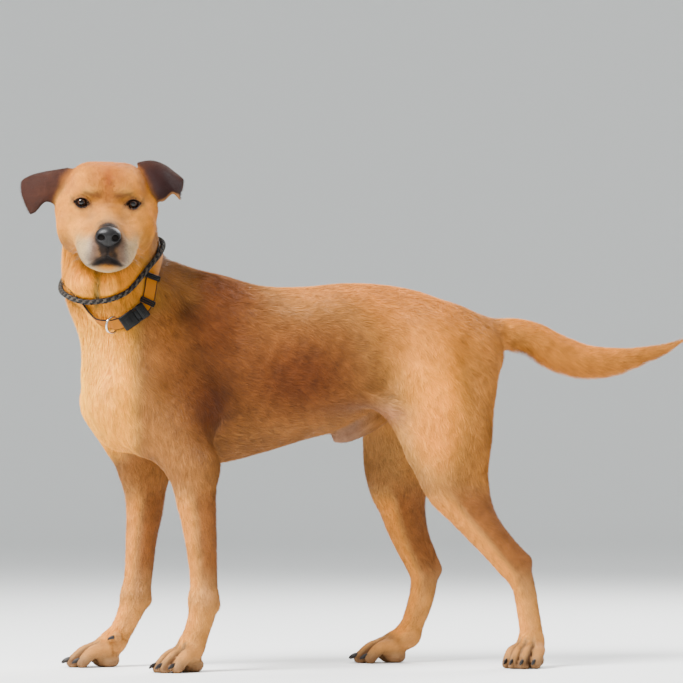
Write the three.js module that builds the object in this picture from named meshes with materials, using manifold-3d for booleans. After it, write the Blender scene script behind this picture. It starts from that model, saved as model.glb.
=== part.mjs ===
// A short-haired dog of lurcher-and-retriever type, standing, life size, wearing two collars.
// Millimetres, +Z up. The dog faces -X, its left side is towards -Y, and its head is turned to that side.
// The body is one smooth field, negative inside the flesh, built from bones (tapered capsules), muscles
// (ellipsoids) and a lofted rib cage. Each named sub-part is the field meshed at its own fineness and then
// trimmed by flat cuts, so that neighbours meet face to face.
import * as THREE from "three";
import { mergeVertices } from "three/addons/utils/BufferGeometryUtils.js";
import Module from "manifold-3d";

const wasm = await Module();
wasm.setup();

// ---- Driving dimensions --------------------------------------------------------------------------------

const LEFT = -1; // sign of Y on the dog's left side
const RIGHT = 1;
const GAP = 0.4; // thin cut between neighbouring sub-parts
const FAR = 2000; // larger than the dog
const GROUND = 4; // level of the paws' flats in the tables below

// The head has its own frame: origin midway between the eyes, x towards the nose, y to the dog's left, z up.
const HEAD_AT = [-387, -145, 680];
const HEAD_TURN = 80; // degrees from straight ahead towards the dog's left
const HEAD_NOD = 10; // degrees downwards
const HEAD_ROLL = 1.5; // degrees, left eye lower
const EYE = { spread: 36.5, radius: 11, depth: -8.5, wide: 22, high: 14 };

// Outline of the trunk: x, height of the back, height of the belly, half width.
const TRUNK = [
  [-352, 548, 338, 66],
  [-300, 582, 318, 80],
  [-250, 592, 308, 88],
  [-195, 590, 305, 94],
  [-126, 573, 321, 99],
  [-60, 572, 341, 97],
  [0, 578, 357, 89],
  [60, 577, 386, 79],
  [120, 567, 402, 72],
  [170, 547, 414, 66],
  [212, 524, 428, 54],
  [238, 508, 446, 38],
];
const NECK = [
  [-256, 0, 486, 88],
  [-300, -1, 524, 90],
  [-338, -4, 560, 83],
  [-354, -14, 608, 75],
  [-356, -26, 652, 67],
  [-352, -38, 680, 52],
];
const TAIL = [
  [218, 0, 500, 28],
  [244, 0, 502, 26],
  [270, 1, 502, 27],
  [303, 2, 494, 29],
  [330, 3, 480, 30],
  [357, 3, 469, 30],
  [384, 3, 462, 28],
  [411, 3, 461, 25.5],
  [437, 2, 463, 22],
  [458, 1, 467, 18],
  [485, 0, 474, 14],
  [511, 0, 482, 10],
  [530, 0, 490, 6],
  [543, 0, 498, 3],
];

// Each leg as a run of [x, y, z, radius] from the elbow or hip down to the paw, and the heading of its paw
// in degrees (0 is straight ahead, positive outwards).
const FORELEGS = {
  left: {
    side: LEFT,
    withers: [-208, -40, 548],
    shoulder: [-328, -64, 404],
    elbow: [-246, -84, 304],
    shin: [
      [-246, -86, 300, 36],
      [-243, -87, 257, 31],
      [-237, -87, 212, 26],
      [-233, -87, 168, 22.5],
      [-231, -86, 134, 21],
      [-231, -86, 106, 22],
      [-235, -87, 83, 20.5],
      [-243, -88, 58, 19.5],
      [-250, -89, 42, 20],
    ],
    paw: [-262, -90],
    heading: 22,
    dewclaw: true,
  },
  right: {
    side: RIGHT,
    withers: [-212, 40, 548],
    shoulder: [-334, 64, 402],
    elbow: [-284, 82, 300],
    shin: [
      [-284, 82, 296, 36],
      [-283, 82, 245, 30],
      [-288, 82, 199, 25],
      [-293, 81, 141, 22],
      [-298, 80, 108, 22],
      [-309, 80, 78, 19],
      [-321, 79, 55, 18],
      [-331, 79, 42, 19],
    ],
    paw: [-354, 78],
    heading: 6,
    dewclaw: true,
  },
};
const HINDLEGS = {
  left: {
    side: LEFT,
    shin: [
      [116, -40, 476, 66],
      [126, -56, 410, 61],
      [132, -72, 350, 52],
      [134, -81, 305, 44],
      [142, -86, 270, 36],
      [162, -88, 243, 30],
      [186, -90, 214, 26.5],
      [210, -91, 188, 24.5],
      [234, -91, 160, 23],
      [248, -91, 143, 21],
      [257, -91, 122, 18.5],
      [263, -92, 88, 18],
      [267, -95, 56, 18.5],
      [266, -98, 42, 20],
    ],
    hamstring: [
      [196, -38, 466, 44],
      [182, -54, 400, 42],
      [176, -68, 350, 40],
      [172, -77, 300, 35],
      [178, -84, 262, 29],
      [192, -88, 232, 21],
      [214, -90, 204, 13],
      [240, -91, 180, 9],
      [261, -91, 163, 9],
    ],
    paw: [257, -108],
    heading: 52,
  },
  right: {
    side: RIGHT,
    shin: [
      [112, 40, 476, 66],
      [108, 56, 410, 60],
      [104, 72, 350, 50],
      [100, 81, 310, 44],
      [104, 85, 272, 38],
      [112, 86, 244, 32],
      [120, 86, 216, 28.5],
      [132, 86, 184, 25],
      [144, 85, 159, 23],
      [153, 85, 133, 21.5],
      [149, 85, 102, 20.5],
      [138, 85, 70, 19],
      [128, 85, 46, 19.5],
    ],
    hamstring: [
      [190, 38, 464, 42],
      [166, 54, 400, 40],
      [146, 68, 350, 38],
      [132, 77, 300, 34],
      [130, 83, 262, 27],
      [138, 85, 230, 18],
      [151, 85, 200, 10],
      [164, 85, 170, 8],
      [173, 84, 146, 9],
    ],
    paw: [92, 86],
    heading: 8,
  },
};

// ---- Small vector helpers ------------------------------------------------------------------------------

const degrees = THREE.MathUtils.degToRad;
const vec = (p) => new THREE.Vector3(...p);
const mirror = ([x, y, z]) => [x, -y, z];
const lerp = (a, b, t) => a.map((v, i) => v + (b[i] - v) * t);

function frameOf(position, turn, nod, roll) {
  // Local x is forward, y is left and z is up; turn is from -X towards the dog's left.
  const yaw = Math.PI + degrees(turn);
  const basis = new THREE.Matrix4()
    .makeRotationZ(yaw)
    .multiply(new THREE.Matrix4().makeRotationY(degrees(nod)))
    .multiply(new THREE.Matrix4().makeRotationX(degrees(-roll)));
  return basis.setPosition(...position);
}

const headFrame = frameOf(HEAD_AT, HEAD_TURN, HEAD_NOD, HEAD_ROLL);
const inHead = (p) => vec(p).applyMatrix4(headFrame).toArray();

// ---- Fields --------------------------------------------------------------------------------------------

// Two spheres joined by the cone that touches both.
// A flat above 1 makes it thinner across the dog than along it.
function bone(a, b, ra, rb, flat = 1) {
  const ax = b[0] - a[0],
    ay = (b[1] - a[1]) * flat,
    az = b[2] - a[2];
  const length = Math.sqrt(ax * ax + ay * ay + az * az);
  const taper = Math.max(-0.95, Math.min(0.95, (rb - ra) / length));
  const lean = taper / Math.sqrt(1 - taper * taper);
  return (x, y, z) => {
    const px = x - a[0],
      py = (y - a[1]) * flat,
      pz = z - a[2];
    const along = (px * ax + py * ay + pz * az) / length;
    const off = Math.sqrt(Math.max(0, px * px + py * py + pz * pz - along * along));
    const s = Math.min(length, Math.max(0, along + off * lean));
    return Math.sqrt(off * off + (along - s) ** 2) - (ra + ((rb - ra) * s) / length);
  };
}

// A smooth run of bones through rows [x, y, z, radius].
function limb(rows, flat = 1, pieces = 3) {
  const fine = smoothRows(rows, pieces);
  const bones = fine.slice(1).map((b, i) => bone(fine[i], b, fine[i][3], b[3], flat));
  return (x, y, z) => {
    let d = Infinity;
    for (const f of bones) d = Math.min(d, f(x, y, z));
    return d;
  };
}

// Catmull-Rom points through rows of numbers, with `pieces` steps between neighbours.
function smoothRows(rows, pieces) {
  const last = rows.length - 1;
  const fine = [];
  for (let i = 0; i < last; i++) {
    const [p0, p1, p2, p3] = [i - 1, i, i + 1, i + 2].map(
      (j) => rows[Math.min(last, Math.max(0, j))],
    );
    for (let s = 0; s < pieces; s++) {
      const t = s / pieces;
      fine.push(
        p1.map(
          (v, c) =>
            v +
            0.5 *
              t *
              (p2[c] -
                p0[c] +
                t *
                  (2 * p0[c] -
                    5 * v +
                    4 * p2[c] -
                    p3[c] +
                    t * (3 * (v - p2[c]) + p3[c] - p0[c]))),
        ),
      );
    }
  }
  fine.push(rows[last]);
  return fine;
}

// An ellipsoid with half sizes r, tipped about Y by pitch degrees and about Z by yaw degrees.
function muscle(c, r, pitch = 0, yaw = 0) {
  const m = new THREE.Matrix4()
    .makeRotationZ(degrees(yaw))
    .multiply(new THREE.Matrix4().makeRotationY(degrees(pitch)))
    .transpose().elements;
  const [rx, ry, rz] = r;
  return (x, y, z) => {
    const dx = x - c[0],
      dy = y - c[1],
      dz = z - c[2];
    const u = (m[0] * dx + m[4] * dy + m[8] * dz) / rx;
    const v = (m[1] * dx + m[5] * dy + m[9] * dz) / ry;
    const w = (m[2] * dx + m[6] * dy + m[10] * dz) / rz;
    const k0 = Math.sqrt(u * u + v * v + w * w) + 1e-6;
    const k1 = Math.sqrt((u / rx) ** 2 + (v / ry) ** 2 + (w / rz) ** 2) + 1e-9;
    return (k0 * (k0 - 1)) / k1;
  };
}

// A body lofted along x through rows [x, top, bottom, half width], a little narrower below than above.
function loft(rows) {
  const fine = smoothRows(rows, 6);
  const from = rows[0][0],
    to = rows[rows.length - 1][0];
  return (x, y, z) => {
    let i = 0;
    while (i < fine.length - 2 && fine[i + 1][0] < x) i++;
    const t = Math.min(1, Math.max(0, (x - fine[i][0]) / (fine[i + 1][0] - fine[i][0])));
    const [, top, bottom, half] = lerp(fine[i], fine[i + 1], t);
    const tall = (top - bottom) / 2;
    const w = (z - (top + bottom) / 2) / tall;
    const wide = half * (0.97 + 0.16 * Math.max(-1, Math.min(1, w)));
    const v = y / wide;
    const k0 = Math.sqrt(v * v + w * w) + 1e-6;
    const k1 = Math.sqrt((v / wide) ** 2 + (w / tall) ** 2) + 1e-9;
    return Math.max((k0 * (k0 - 1)) / k1, from - x, x - to);
  };
}

// Union of two distances with a fillet of about k.
function soften(a, b, k) {
  const h = Math.max(k - Math.abs(a - b), 0) / k;
  return Math.min(a, b) - (h * h * k) / 4;
}

// Folds a list of [shape, fillet] into one field. A fillet under 0 carves the shape away.
// near() gives the same field with only the shapes that matter within a distance of a point.
function flesh(list) {
  const field = (x, y, z) => {
    let d = 1e9;
    for (const [shape, k] of list) {
      const s = shape(x, y, z);
      d = k < 0 ? -soften(-d, s, -k) : soften(d, s, k);
    }
    return d;
  };
  field.near = (x, y, z, reach) => {
    const d = list.map(([shape]) => shape(x, y, z));
    const closest = Math.min(...d.filter((_, i) => list[i][1] > 0));
    const kept = list.filter(([, k], i) =>
      k < 0 ? d[i] < 2 * reach - k : d[i] < closest + 2.6 * reach + k,
    );
    return flesh(kept);
  };
  return field;
}

// A list of shapes that are given in another frame, as one shape.
function framed(matrix, list) {
  const field = flesh(list);
  const e = matrix.clone().invert().elements;
  return (x, y, z) =>
    field(
      e[0] * x + e[4] * y + e[8] * z + e[12],
      e[1] * x + e[5] * y + e[9] * z + e[13],
      e[2] * x + e[6] * y + e[10] * z + e[14],
    );
}

const bothSides = (make) => [LEFT, RIGHT].flatMap((s) => make(s));

// ---- The body ------------------------------------------------------------------------------------------

const trunkFlesh = [
  [loft(TRUNK), 1],
  [muscle([-334, 0, 436], [62, 74, 106]), 30], // forechest
  [muscle([172, 0, 474], [66, 70, 66]), 30], // pelvis
  ...bothSides((s) => [
    [bone([-350, 34 * s, 388], [-318, 66 * s, 340], 34, 22), 26], // breast muscles
    [
      limb([
        [-60, 62 * s, 404, 10],
        [-20, 62 * s, 402, 11],
        [22, 62 * s, 402, 13],
        [52, 64 * s, 392, 15],
        [80, 68 * s, 362, 15],
        [98, 74 * s, 326, 14],
      ]),
      22,
    ], // flank fold
  ]),
]; // the sheath is a sub-part of its own
const SHEATH = [
  [-6, 0, 346, 9],
  [8, 0, 353, 15],
  [40, 0, 372, 20],
  [74, 0, 392, 18],
];

const neckFlesh = [[limb(NECK), 34]];
const throatFlesh = [
  [muscle([-398, -46, 574], [26, 34, 26]), 16],
  [muscle([-370, -72, 572], [19, 26, 27]), 10],
];

function forelegFlesh(leg) {
  const { side, withers, shoulder, elbow, shin } = leg;
  const triceps = lerp(shoulder, elbow, 0.62);
  const carpus = shin[shin.length - 4];
  return [
    [bone(withers, shoulder, 30, 42, 1.35), 26],
    [bone(shoulder, elbow, 47, 38, 1.3), 22],
    [muscle([triceps[0] + 32, triceps[1], triceps[2] + 34], [42, 25, 62], 24), 24],
    [limb(shin, 1.15), 14],
    [muscle([elbow[0] + 24, elbow[1], elbow[2] - 2], [12, 13, 18]), 12], // elbow point
    [muscle([carpus[0], carpus[1], carpus[2] + 2], [22.5, 23, 24]), 8],
    [muscle([carpus[0] + 19, carpus[1] - side, carpus[2] - 6], [7, 8, 9]), 6], // stopper pad
  ];
}

function hindlegFlesh(leg) {
  return [
    [limb(leg.shin, 1.3), 30],
    [limb(leg.hamstring, 1.3), 18],
  ];
}

// Toes in order across the paw: sideways place, reach of the knuckle and of the tip, and thickness.
const TOES = [
  { across: -22, knuckle: 10, tip: 26, radius: 10 },
  { across: -8, knuckle: 18, tip: 38, radius: 11 },
  { across: 8, knuckle: 18, tip: 38, radius: 11 },
  { across: 22, knuckle: 10, tip: 26, radius: 10 },
];
const pawFrame = (leg) => frameOf([...leg.paw, GROUND], -leg.side * leg.heading, 0, 0);

function pawFlesh(leg) {
  const frame = pawFrame(leg);
  const fetlock = leg.shin[leg.shin.length - 1].slice(0, 3);
  const toPaw = vec(fetlock).applyMatrix4(frame.clone().invert()).toArray();
  const dewclaw = leg.dewclaw ? [[muscle([-26, 18 * leg.side, 46], [9, 6, 9]), 6]] : [];
  return framed(frame, [
    [bone(toPaw, [-2, 0, 22], 19, 20), 12],
    ...dewclaw,
    [muscle([-14, 0, 10], [18, 21, 13]), 8], // heel pad
    ...TOES.map((toe) => [
      limb([
        [-8, toe.across * 0.6, 26, 12],
        [toe.knuckle, toe.across * 0.92, 23, toe.radius],
        [toe.tip, toe.across, 7, toe.radius - 1],
      ]),
      5,
    ]),
  ]);
}

const headFlesh = [
  [muscle([-60, 0, 3], [64, 54, 52]), 1], // brain case
  ...bothSides((s) => [
    [muscle([-56, 30 * s, 17], [42, 28, 34]), 18], // temple
    [muscle([-62, 57 * s, 4], [20, 17, 26]), 16], // root of the ear
    [muscle([-44, 46 * s, -33], [46, 26, 45]), 22], // cheek
    [bone([2, 34 * s, -18], [-34, 58 * s, -10], 11, 14), 16], // cheek bone
    [muscle([-15, 24 * s, 15], [19, 21, 12]), 14], // brow
    [bone([-6, 40 * s, -34], [54, 21 * s, -50], 25, 21), 26], // under the eye
    [muscle([62, 19 * s, -60], [40, 21, 26], 4), 14], // upper lip
  ]),
  [muscle([-27, 0, 14], [31, 43, 38]), 18], // forehead
  [bone([8, 0, -24], [90, 0, -37], 22, 18), 18], // bridge of the nose
  [bone([-48, 0, -62], [66, 0, -72], 32, 16), 18], // lower jaw
  [muscle([76, 0, -77], [24, 20, 13]), 8], // chin
  [muscle([92, 0, -50], [15, 23, 22]), 12], // front of the muzzle
  ...bothSides((s) => [[muscle([-9, 36.5 * s, 0], [13.5, 15, 13]), 8]]), // eyelids
];

const bodyField = flesh([
  ...trunkFlesh,
  ...Object.values(FORELEGS).flatMap(forelegFlesh),
  ...Object.values(HINDLEGS).flatMap(hindlegFlesh),
  ...neckFlesh,
  [framed(headFrame, headFlesh), 22],
  ...throatFlesh,
  ...[...Object.values(FORELEGS), ...Object.values(HINDLEGS)].map((leg) => [pawFlesh(leg), 8]),
  [limb(TAIL, 1.2), 20],
]);

// ---- Meshing a field -----------------------------------------------------------------------------------

// Moves a point onto the skin by a few Newton steps along the field's gradient.
function toSkin(field, p, steps, reach) {
  const e = 0.4;
  let [x, y, z] = p;
  for (let i = 0; i < steps; i++) {
    const gx = (field(x + e, y, z) - field(x - e, y, z)) / (2 * e);
    const gy = (field(x, y + e, z) - field(x, y - e, z)) / (2 * e);
    const gz = (field(x, y, z + e) - field(x, y, z - e)) / (2 * e);
    const g2 = gx * gx + gy * gy + gz * gz + 1e-9;
    const step = Math.max(-reach, Math.min(reach, field(x, y, z) / g2));
    x -= step * gx;
    y -= step * gy;
    z -= step * gz;
  }
  return [x, y, z];
}

// Surface nets: one vertex in each cell that the skin crosses, one quad for each crossed grid edge.
// grow moves the surface outwards.
// Grids of one cell size line up with each other, whatever their corners.
function meshField(body, corner, high, cell, grow = 0) {
  const BLOCK = 4;
  const low = corner.map((v) => Math.floor(v / cell) * cell);
  const n = low.map((v, i) => Math.ceil((high[i] - v) / cell) + 1);
  const values = new Float32Array(n[0] * n[1] * n[2]).fill(cell);
  const at = (i, j, k) => (k * n[1] + j) * n[0] + i;
  const place = (i, d) => low[d] + i * cell;
  const local = new Map();
  const blockOf = (i, j, k) =>
    [i, j, k].map((c) => Math.floor(c / BLOCK)).join();
  const fieldAt = (i, j, k) => local.get(blockOf(i, j, k));
  const reach = ((BLOCK * Math.sqrt(3)) / 2 + 1) * cell;
  for (let bk = 0; bk < n[2]; bk += BLOCK)
    for (let bj = 0; bj < n[1]; bj += BLOCK)
      for (let bi = 0; bi < n[0]; bi += BLOCK) {
        const centre = [bi, bj, bk].map((c, d) => place(c + BLOCK / 2, d));
        const there = body(...centre) - grow;
        const far = Math.abs(there) > 1.35 * reach;
        const near = far ? null : body.near(...centre, reach);
        if (near) local.set(blockOf(bi, bj, bk), (x, y, z) => near(x, y, z) - grow);
        for (let k = bk; k < Math.min(bk + BLOCK, n[2] - 1); k++)
          for (let j = bj; j < Math.min(bj + BLOCK, n[1] - 1); j++)
            for (let i = bi; i < Math.min(bi + BLOCK, n[0] - 1); i++)
              if (i && j && k)
                values[at(i, j, k)] = near
                  ? near(place(i, 0), place(j, 1), place(k, 2)) - grow
                  : there;
      }
  fillCheckered(values, n, at);
  const corners = [0, 1, 2, 3, 4, 5, 6, 7].map((c) => [c & 1, (c >> 1) & 1, c >> 2]);
  const edges = corners.flatMap((_, i) =>
    [1, 2, 4].filter((bit) => !(i & bit)).map((bit) => [i, i | bit]),
  );
  const vertexOf = new Map();
  const positions = [];
  for (let k = 0; k < n[2] - 1; k++)
    for (let j = 0; j < n[1] - 1; j++)
      for (let i = 0; i < n[0] - 1; i++) {
        const v = corners.map(([a, b, c]) => values[at(i + a, j + b, k + c)]);
        const crossed = edges.filter(([a, b]) => v[a] < 0 !== v[b] < 0);
        if (!crossed.length) continue;
        const sum = [0, 0, 0];
        for (const [a, b] of crossed) {
          const t = v[a] / (v[a] - v[b]);
          for (let d = 0; d < 3; d++)
            sum[d] += corners[a][d] + (corners[b][d] - corners[a][d]) * t;
        }
        const p = [i, j, k].map((c, d) => place(c + sum[d] / crossed.length, d));
        vertexOf.set(at(i, j, k), positions.length / 3);
        const there = fieldAt(i, j, k) ?? ((x, y, z) => body(x, y, z) - grow);
        positions.push(...toSkin(there, p, 3, cell / 4));
      }
  const faces = [];
  const axes = [
    [0, 1, 2],
    [1, 2, 0],
    [2, 0, 1],
  ];
  for (const [u, v, w] of axes)
    for (let k = 0; k < n[2] - 1; k++)
      for (let j = 0; j < n[1] - 1; j++)
        for (let i = 0; i < n[0] - 1; i++) {
          const here = [i, j, k];
          const next = [i, j, k];
          next[u]++;
          const a = values[at(...here)],
            b = values[at(...next)];
          if (a < 0 === b < 0) continue;
          const cellAt = (dv, dw) => {
            const c = [...here];
            c[v] -= dv;
            c[w] -= dw;
            return vertexOf.get(at(...c));
          };
          const quad = [cellAt(1, 1), cellAt(0, 1), cellAt(0, 0), cellAt(1, 0)];
          if (a > b) quad.reverse();
          faces.push(...splitQuad(quad, positions));
        }
  const geometry = new THREE.BufferGeometry();
  geometry.setAttribute("position", new THREE.Float32BufferAttribute(positions, 3));
  geometry.setIndex(faces);
  return geometry;
}

// Where the four corners of a grid square are in and out by turns, two sheets of skin would share an edge,
// so the outer corner nearest the skin is taken in.
function fillCheckered(values, n, at) {
  const squares = [
    [[1, 0, 0], [0, 1, 0]],
    [[0, 1, 0], [0, 0, 1]],
    [[0, 0, 1], [1, 0, 0]],
  ];
  for (let changed = true; changed; ) {
    changed = false;
    for (let k = 0; k < n[2] - 1; k++)
      for (let j = 0; j < n[1] - 1; j++)
        for (let i = 0; i < n[0] - 1; i++)
          for (const [u, v] of squares) {
            const ring = [[0, 0], [1, 0], [1, 1], [0, 1]].map(([s, t]) =>
              at(i + s * u[0] + t * v[0], j + s * u[1] + t * v[1], k + s * u[2] + t * v[2]),
            );
            const inside = ring.map((c) => values[c] < 0);
            if (inside[0] === inside[1] || inside[0] !== inside[2] || inside[1] !== inside[3]) continue;
            const outer = ring.filter((c) => values[c] >= 0);
            const nearest = values[outer[0]] < values[outer[1]] ? outer[0] : outer[1];
            values[nearest] = -0.01;
            changed = true;
          }
  }
}

// Splits a quad along its shorter diagonal.
function splitQuad([a, b, c, d], positions) {
  const apart = (p, q) =>
    Math.hypot(...[0, 1, 2].map((i) => positions[3 * p + i] - positions[3 * q + i]));
  return apart(a, c) < apart(b, d) ? [a, b, c, a, c, d] : [b, c, d, b, d, a];
}

// ---- Solids --------------------------------------------------------------------------------------------

function solidOf(geometry) {
  const bare = new THREE.BufferGeometry();
  bare.setAttribute("position", geometry.getAttribute("position"));
  bare.setIndex(geometry.getIndex());
  const merged = mergeVertices(bare, 1e-3);
  return new wasm.Manifold(
    new wasm.Mesh({
      numProp: 3,
      vertProperties: merged.attributes.position.array,
      triVerts: new Uint32Array(merged.index.array),
    }),
  );
}

function geometryOf(solid) {
  const mesh = solid.getMesh();
  const geometry = new THREE.BufferGeometry();
  geometry.setAttribute(
    "position",
    new THREE.BufferAttribute(new Float32Array(mesh.vertProperties), 3),
  );
  geometry.setIndex(new THREE.BufferAttribute(new Uint32Array(mesh.triVerts), 1));
  geometry.computeVertexNormals();
  return geometry;
}

// The half space on the side of a plane that its normal points to, as a big box.
function halfSpace(point, normal, shift = 0) {
  const box = new THREE.BoxGeometry(FAR, FAR, FAR).translate(0, 0, FAR / 2 + shift);
  const turn = new THREE.Quaternion().setFromUnitVectors(
    vec([0, 0, 1]),
    vec(normal).normalize(),
  );
  return solidOf(box.applyQuaternion(turn).translate(...point));
}

// The solid of a closed surface whose faces may all point inwards.
function outward(geometry) {
  const solid = solidOf(geometry);
  if (solid.volume() > 0) return solid;
  const index = Array.from(geometry.getIndex().array);
  for (let i = 0; i < index.length; i += 3)
    [index[i + 1], index[i + 2]] = [index[i + 2], index[i + 1]];
  return solidOf(geometry.setIndex(index));
}

const flip = (n) => n.map((v) => -v);

// The two sides of a cut, each held back from the plane by half the gap.
function cut(point, normal) {
  return {
    ahead: halfSpace(point, normal, GAP / 2),
    behind: halfSpace(point, flip(normal), GAP / 2),
  };
}

// ---- Cuts between the sub-parts ------------------------------------------------------------------------

const ground = halfSpace([0, 0, GROUND], [0, 0, 1]);
const headCut = cut([-356, -34, 640], [-0.16, -0.62, 0.77]);
const neckCut = cut([-318, 0, 522], [-0.62, 0, 0.78]);
const tailCut = cut([246, 0, 500], [1, 0, 0.12]);
const tailMid = cut([396, 3, 461], [1, 0, 0.1]);

// The space of one leg beside the trunk: outside and below a slanted plane, between two upright planes.
function legSpace(side, inner, tilt, front, back) {
  const point = [0, inner[0] * side, inner[1]];
  const outward = [0, side * Math.cos(degrees(tilt)), -Math.sin(degrees(tilt))];
  const between = (grow) =>
    halfSpace([front, 0, 0], [1, 0, 0], -grow).intersect(
      halfSpace([back, 0, 0], [-1, 0, 0], -grow),
    );
  return {
    leg: halfSpace(point, outward, GAP / 2).intersect(between(-GAP / 2)),
    hole: halfSpace(point, outward, -GAP / 2).intersect(between(GAP / 2)),
  };
}

// ---- Materials -----------------------------------------------------------------------------------------

const material = (color, roughness, metalness = 0) =>
  new THREE.MeshStandardMaterial({ color, roughness, metalness });
const TAN = material(0xcb8f55, 0.85);
const PALE_TAN = material(0xdcae74, 0.85);
const LIGHT = material(0xe6c38c, 0.85);
const EAR_BROWN = material(0x70452d, 0.85);
const EYE_BROWN = material(0x2a1a10, 0.08);
const NOSE_BLACK = material(0x2c2a29, 0.4);
const HORN = material(0x2b2624, 0.45);
const YELLOW_WEBBING = material(0xc98a1d, 0.8);
const DARK_ROPE = material(0x2e2d2b, 0.9);
const BLACK_PLASTIC = material(0x141414, 0.45);
const STEEL = material(0xb9b4a8, 0.3, 1);

const dog = new THREE.Group();
const made = {}; // the solid of each node so far

function addNode(name, solid, look) {
  const body = solid.decompose().sort((a, b) => b.volume() - a.volume())[0];
  const mesh = new THREE.Mesh(geometryOf(body), look);
  mesh.name = name;
  made[name] = body;
  dog.add(mesh);
}

// A piece that sits on the flesh: what is left of it outside the flesh grown by the gap.
const seat = (piece, grown, nodes) =>
  nodes.reduce((rest, name) => rest.subtract(made[name]), piece.subtract(grown));

// ---- Flesh ---------------------------------------------------------------------------------------------

const skin = (low, high, cell, grow = 0) => solidOf(meshField(bodyField, low, high, cell, grow));

// Fineness of the flesh.
const HEAD_CELL = 15.5;
const NECK_CELL = 25;
const TRUNK_CELL = 34;
const LIMB_CELL = { upper: 27, lower: 19, paw: 12.8 };
const TAIL_CELL = 19;
const SHEATH_CELL = 16;

const HEAD_BOX = [
  [-520, -320, 520],
  [-230, 70, 780],
];

// The eyeballs, and the almond openings of the lids.
const eyeAt = (s) => inHead([EYE.depth, EYE.spread * s, 0]);
const eyeball = (s, grow = 0) =>
  solidOf(new THREE.SphereGeometry(EYE.radius + grow, 12, 7).translate(...eyeAt(s)));
function lidOpening(s) {
  const almond = new THREE.CylinderGeometry(1, 1, 30, 10)
    .rotateZ(-Math.PI / 2)
    .scale(1, EYE.wide / 2, EYE.high / 2)
    .translate(EYE.depth + 17, EYE.spread * s, 0)
    .applyMatrix4(headFrame);
  return solidOf(almond);
}

function addHead() {
  let head = skin(...HEAD_BOX, HEAD_CELL).intersect(headCut.ahead);
  for (const s of [LEFT, RIGHT]) head = head.subtract(eyeball(s, GAP)).subtract(lidOpening(s));
  addNode("head", head.subtract(noseLeather(1.05)), TAN);
  addNode("eye_left", eyeball(RIGHT), EYE_BROWN);
  addNode("eye_right", eyeball(LEFT), EYE_BROWN);
  addNode("nose", bothSides(nostril).reduce((nose, hole) => nose.subtract(hole), noseLeather()), NOSE_BLACK);
}

const nostril = (s) =>
  solidOf(
    new THREE.SphereGeometry(3.4, 6, 4)
      .scale(1.6, 1, 1)
      .translate(113, 9 * s, -36)
      .applyMatrix4(headFrame),
  );


// The leather of the nose, broad above. It can be made larger about its middle, for its seat in the head.
function noseLeather(scale = 1) {
  const nose = flesh([
    [muscle([101, 0, -33], [13, 17, 12]), 1],
    [muscle([100, 0, -44], [12, 12, 9]), 8],
    ...bothSides((s) => [[muscle([99, 10 * s, -36], [12, 9, 9]), 6]]),
  ]);
  const field = framed(headFrame, [[nose, 1]]);
  field.near = () => field;
  const at = inHead([102, 0, -38]);
  const low = at.map((v) => v - 27);
  const high = at.map((v) => v + 27);
  return solidOf(
    meshField(field, low, high, 8)
      .translate(...flip(at))
      .scale(scale, scale, scale)
      .translate(...at),
  );
}

function addBody() {
  let trunk = skin([-430, -140, 250], [300, 140, 640], TRUNK_CELL)
    .intersect(neckCut.behind)
    .intersect(tailCut.behind);
  for (const [name, leg] of Object.entries(FORELEGS)) {
    const space = legSpace(leg.side, [52, 330], 36, leg.shoulder[0] - 46, leg.elbow[0] + 60);
    trunk = trunk.subtract(space.hole);
    addLeg(`fore_${name}`, leg, space.leg, {
      box: [-450, -130],
      upper: ["upper_arm", [leg.elbow[0], 0, 290], [0.1, 0, 1]],
      lower: ["forearm", [leg.paw[0], 0, 52], [0.35, 0, 1]],
    });
  }
  for (const [name, leg] of Object.entries(HINDLEGS)) {
    const space = legSpace(leg.side, [16, 374], 50, 22, 340);
    trunk = trunk.subtract(space.hole);
    addLeg(`hind_${name}`, leg, space.leg, {
      box: [-20, 340],
      upper: ["thigh", [leg.shin[5][0], 0, leg.shin[5][2]], [-0.35, 0, 1]],
      lower: ["shank", [leg.paw[0], 0, 50], [0.1, 0, 1]],
    });
  }
  addNode("trunk", trunk, TAN);
  const neck = skin([-460, -170, 440], [-180, 130, 740], NECK_CELL);
  addNode("neck", neck.intersect(neckCut.ahead).intersect(headCut.behind), PALE_TAN);
  const tail = skin([225, -60, 420], [560, 60, 550], TAIL_CELL);
  addNode("tail_base", tail.intersect(tailCut.ahead).intersect(tailMid.behind), TAN);
  addNode("tail_tip", tail.intersect(tailMid.ahead), TAN);
  const sheath = flesh([[limb(SHEATH), 1]]);
  const soft = solidOf(meshField(sheath, [-30, -30, 320], [100, 30, 430], SHEATH_CELL));
  const around = skin([-60, -60, 290], [130, 60, 440], TRUNK_CELL, GAP);
  addNode("sheath", seat(soft, around, ["trunk"]), PALE_TAN);
}

function addLeg(name, leg, space, { box, upper, lower }) {
  const side = leg.side < 0 ? [-190, 0] : [0, 190];
  const piece = (z, cell) => skin([box[0], side[0], z[0]], [box[1], side[1], z[1]], cell);
  const knee = cut(upper[1], upper[2]);
  const ankle = cut(lower[1], lower[2]);
  addNode(
    `${name}_${upper[0]}`,
    piece([200, 640], LIMB_CELL.upper).intersect(space).intersect(knee.ahead),
    TAN,
  );
  addNode(
    `${name}_${lower[0]}`,
    piece([20, 420], LIMB_CELL.lower).intersect(space).intersect(knee.behind).intersect(ankle.ahead),
    TAN,
  );
  const paw = piece([-20, 140], LIMB_CELL.paw).intersect(ankle.behind).intersect(ground);
  addNode(`${name}_paw`, paw, PALE_TAN);
}

// ---- Ears ----------------------------------------------------------------------------------------------

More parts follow.
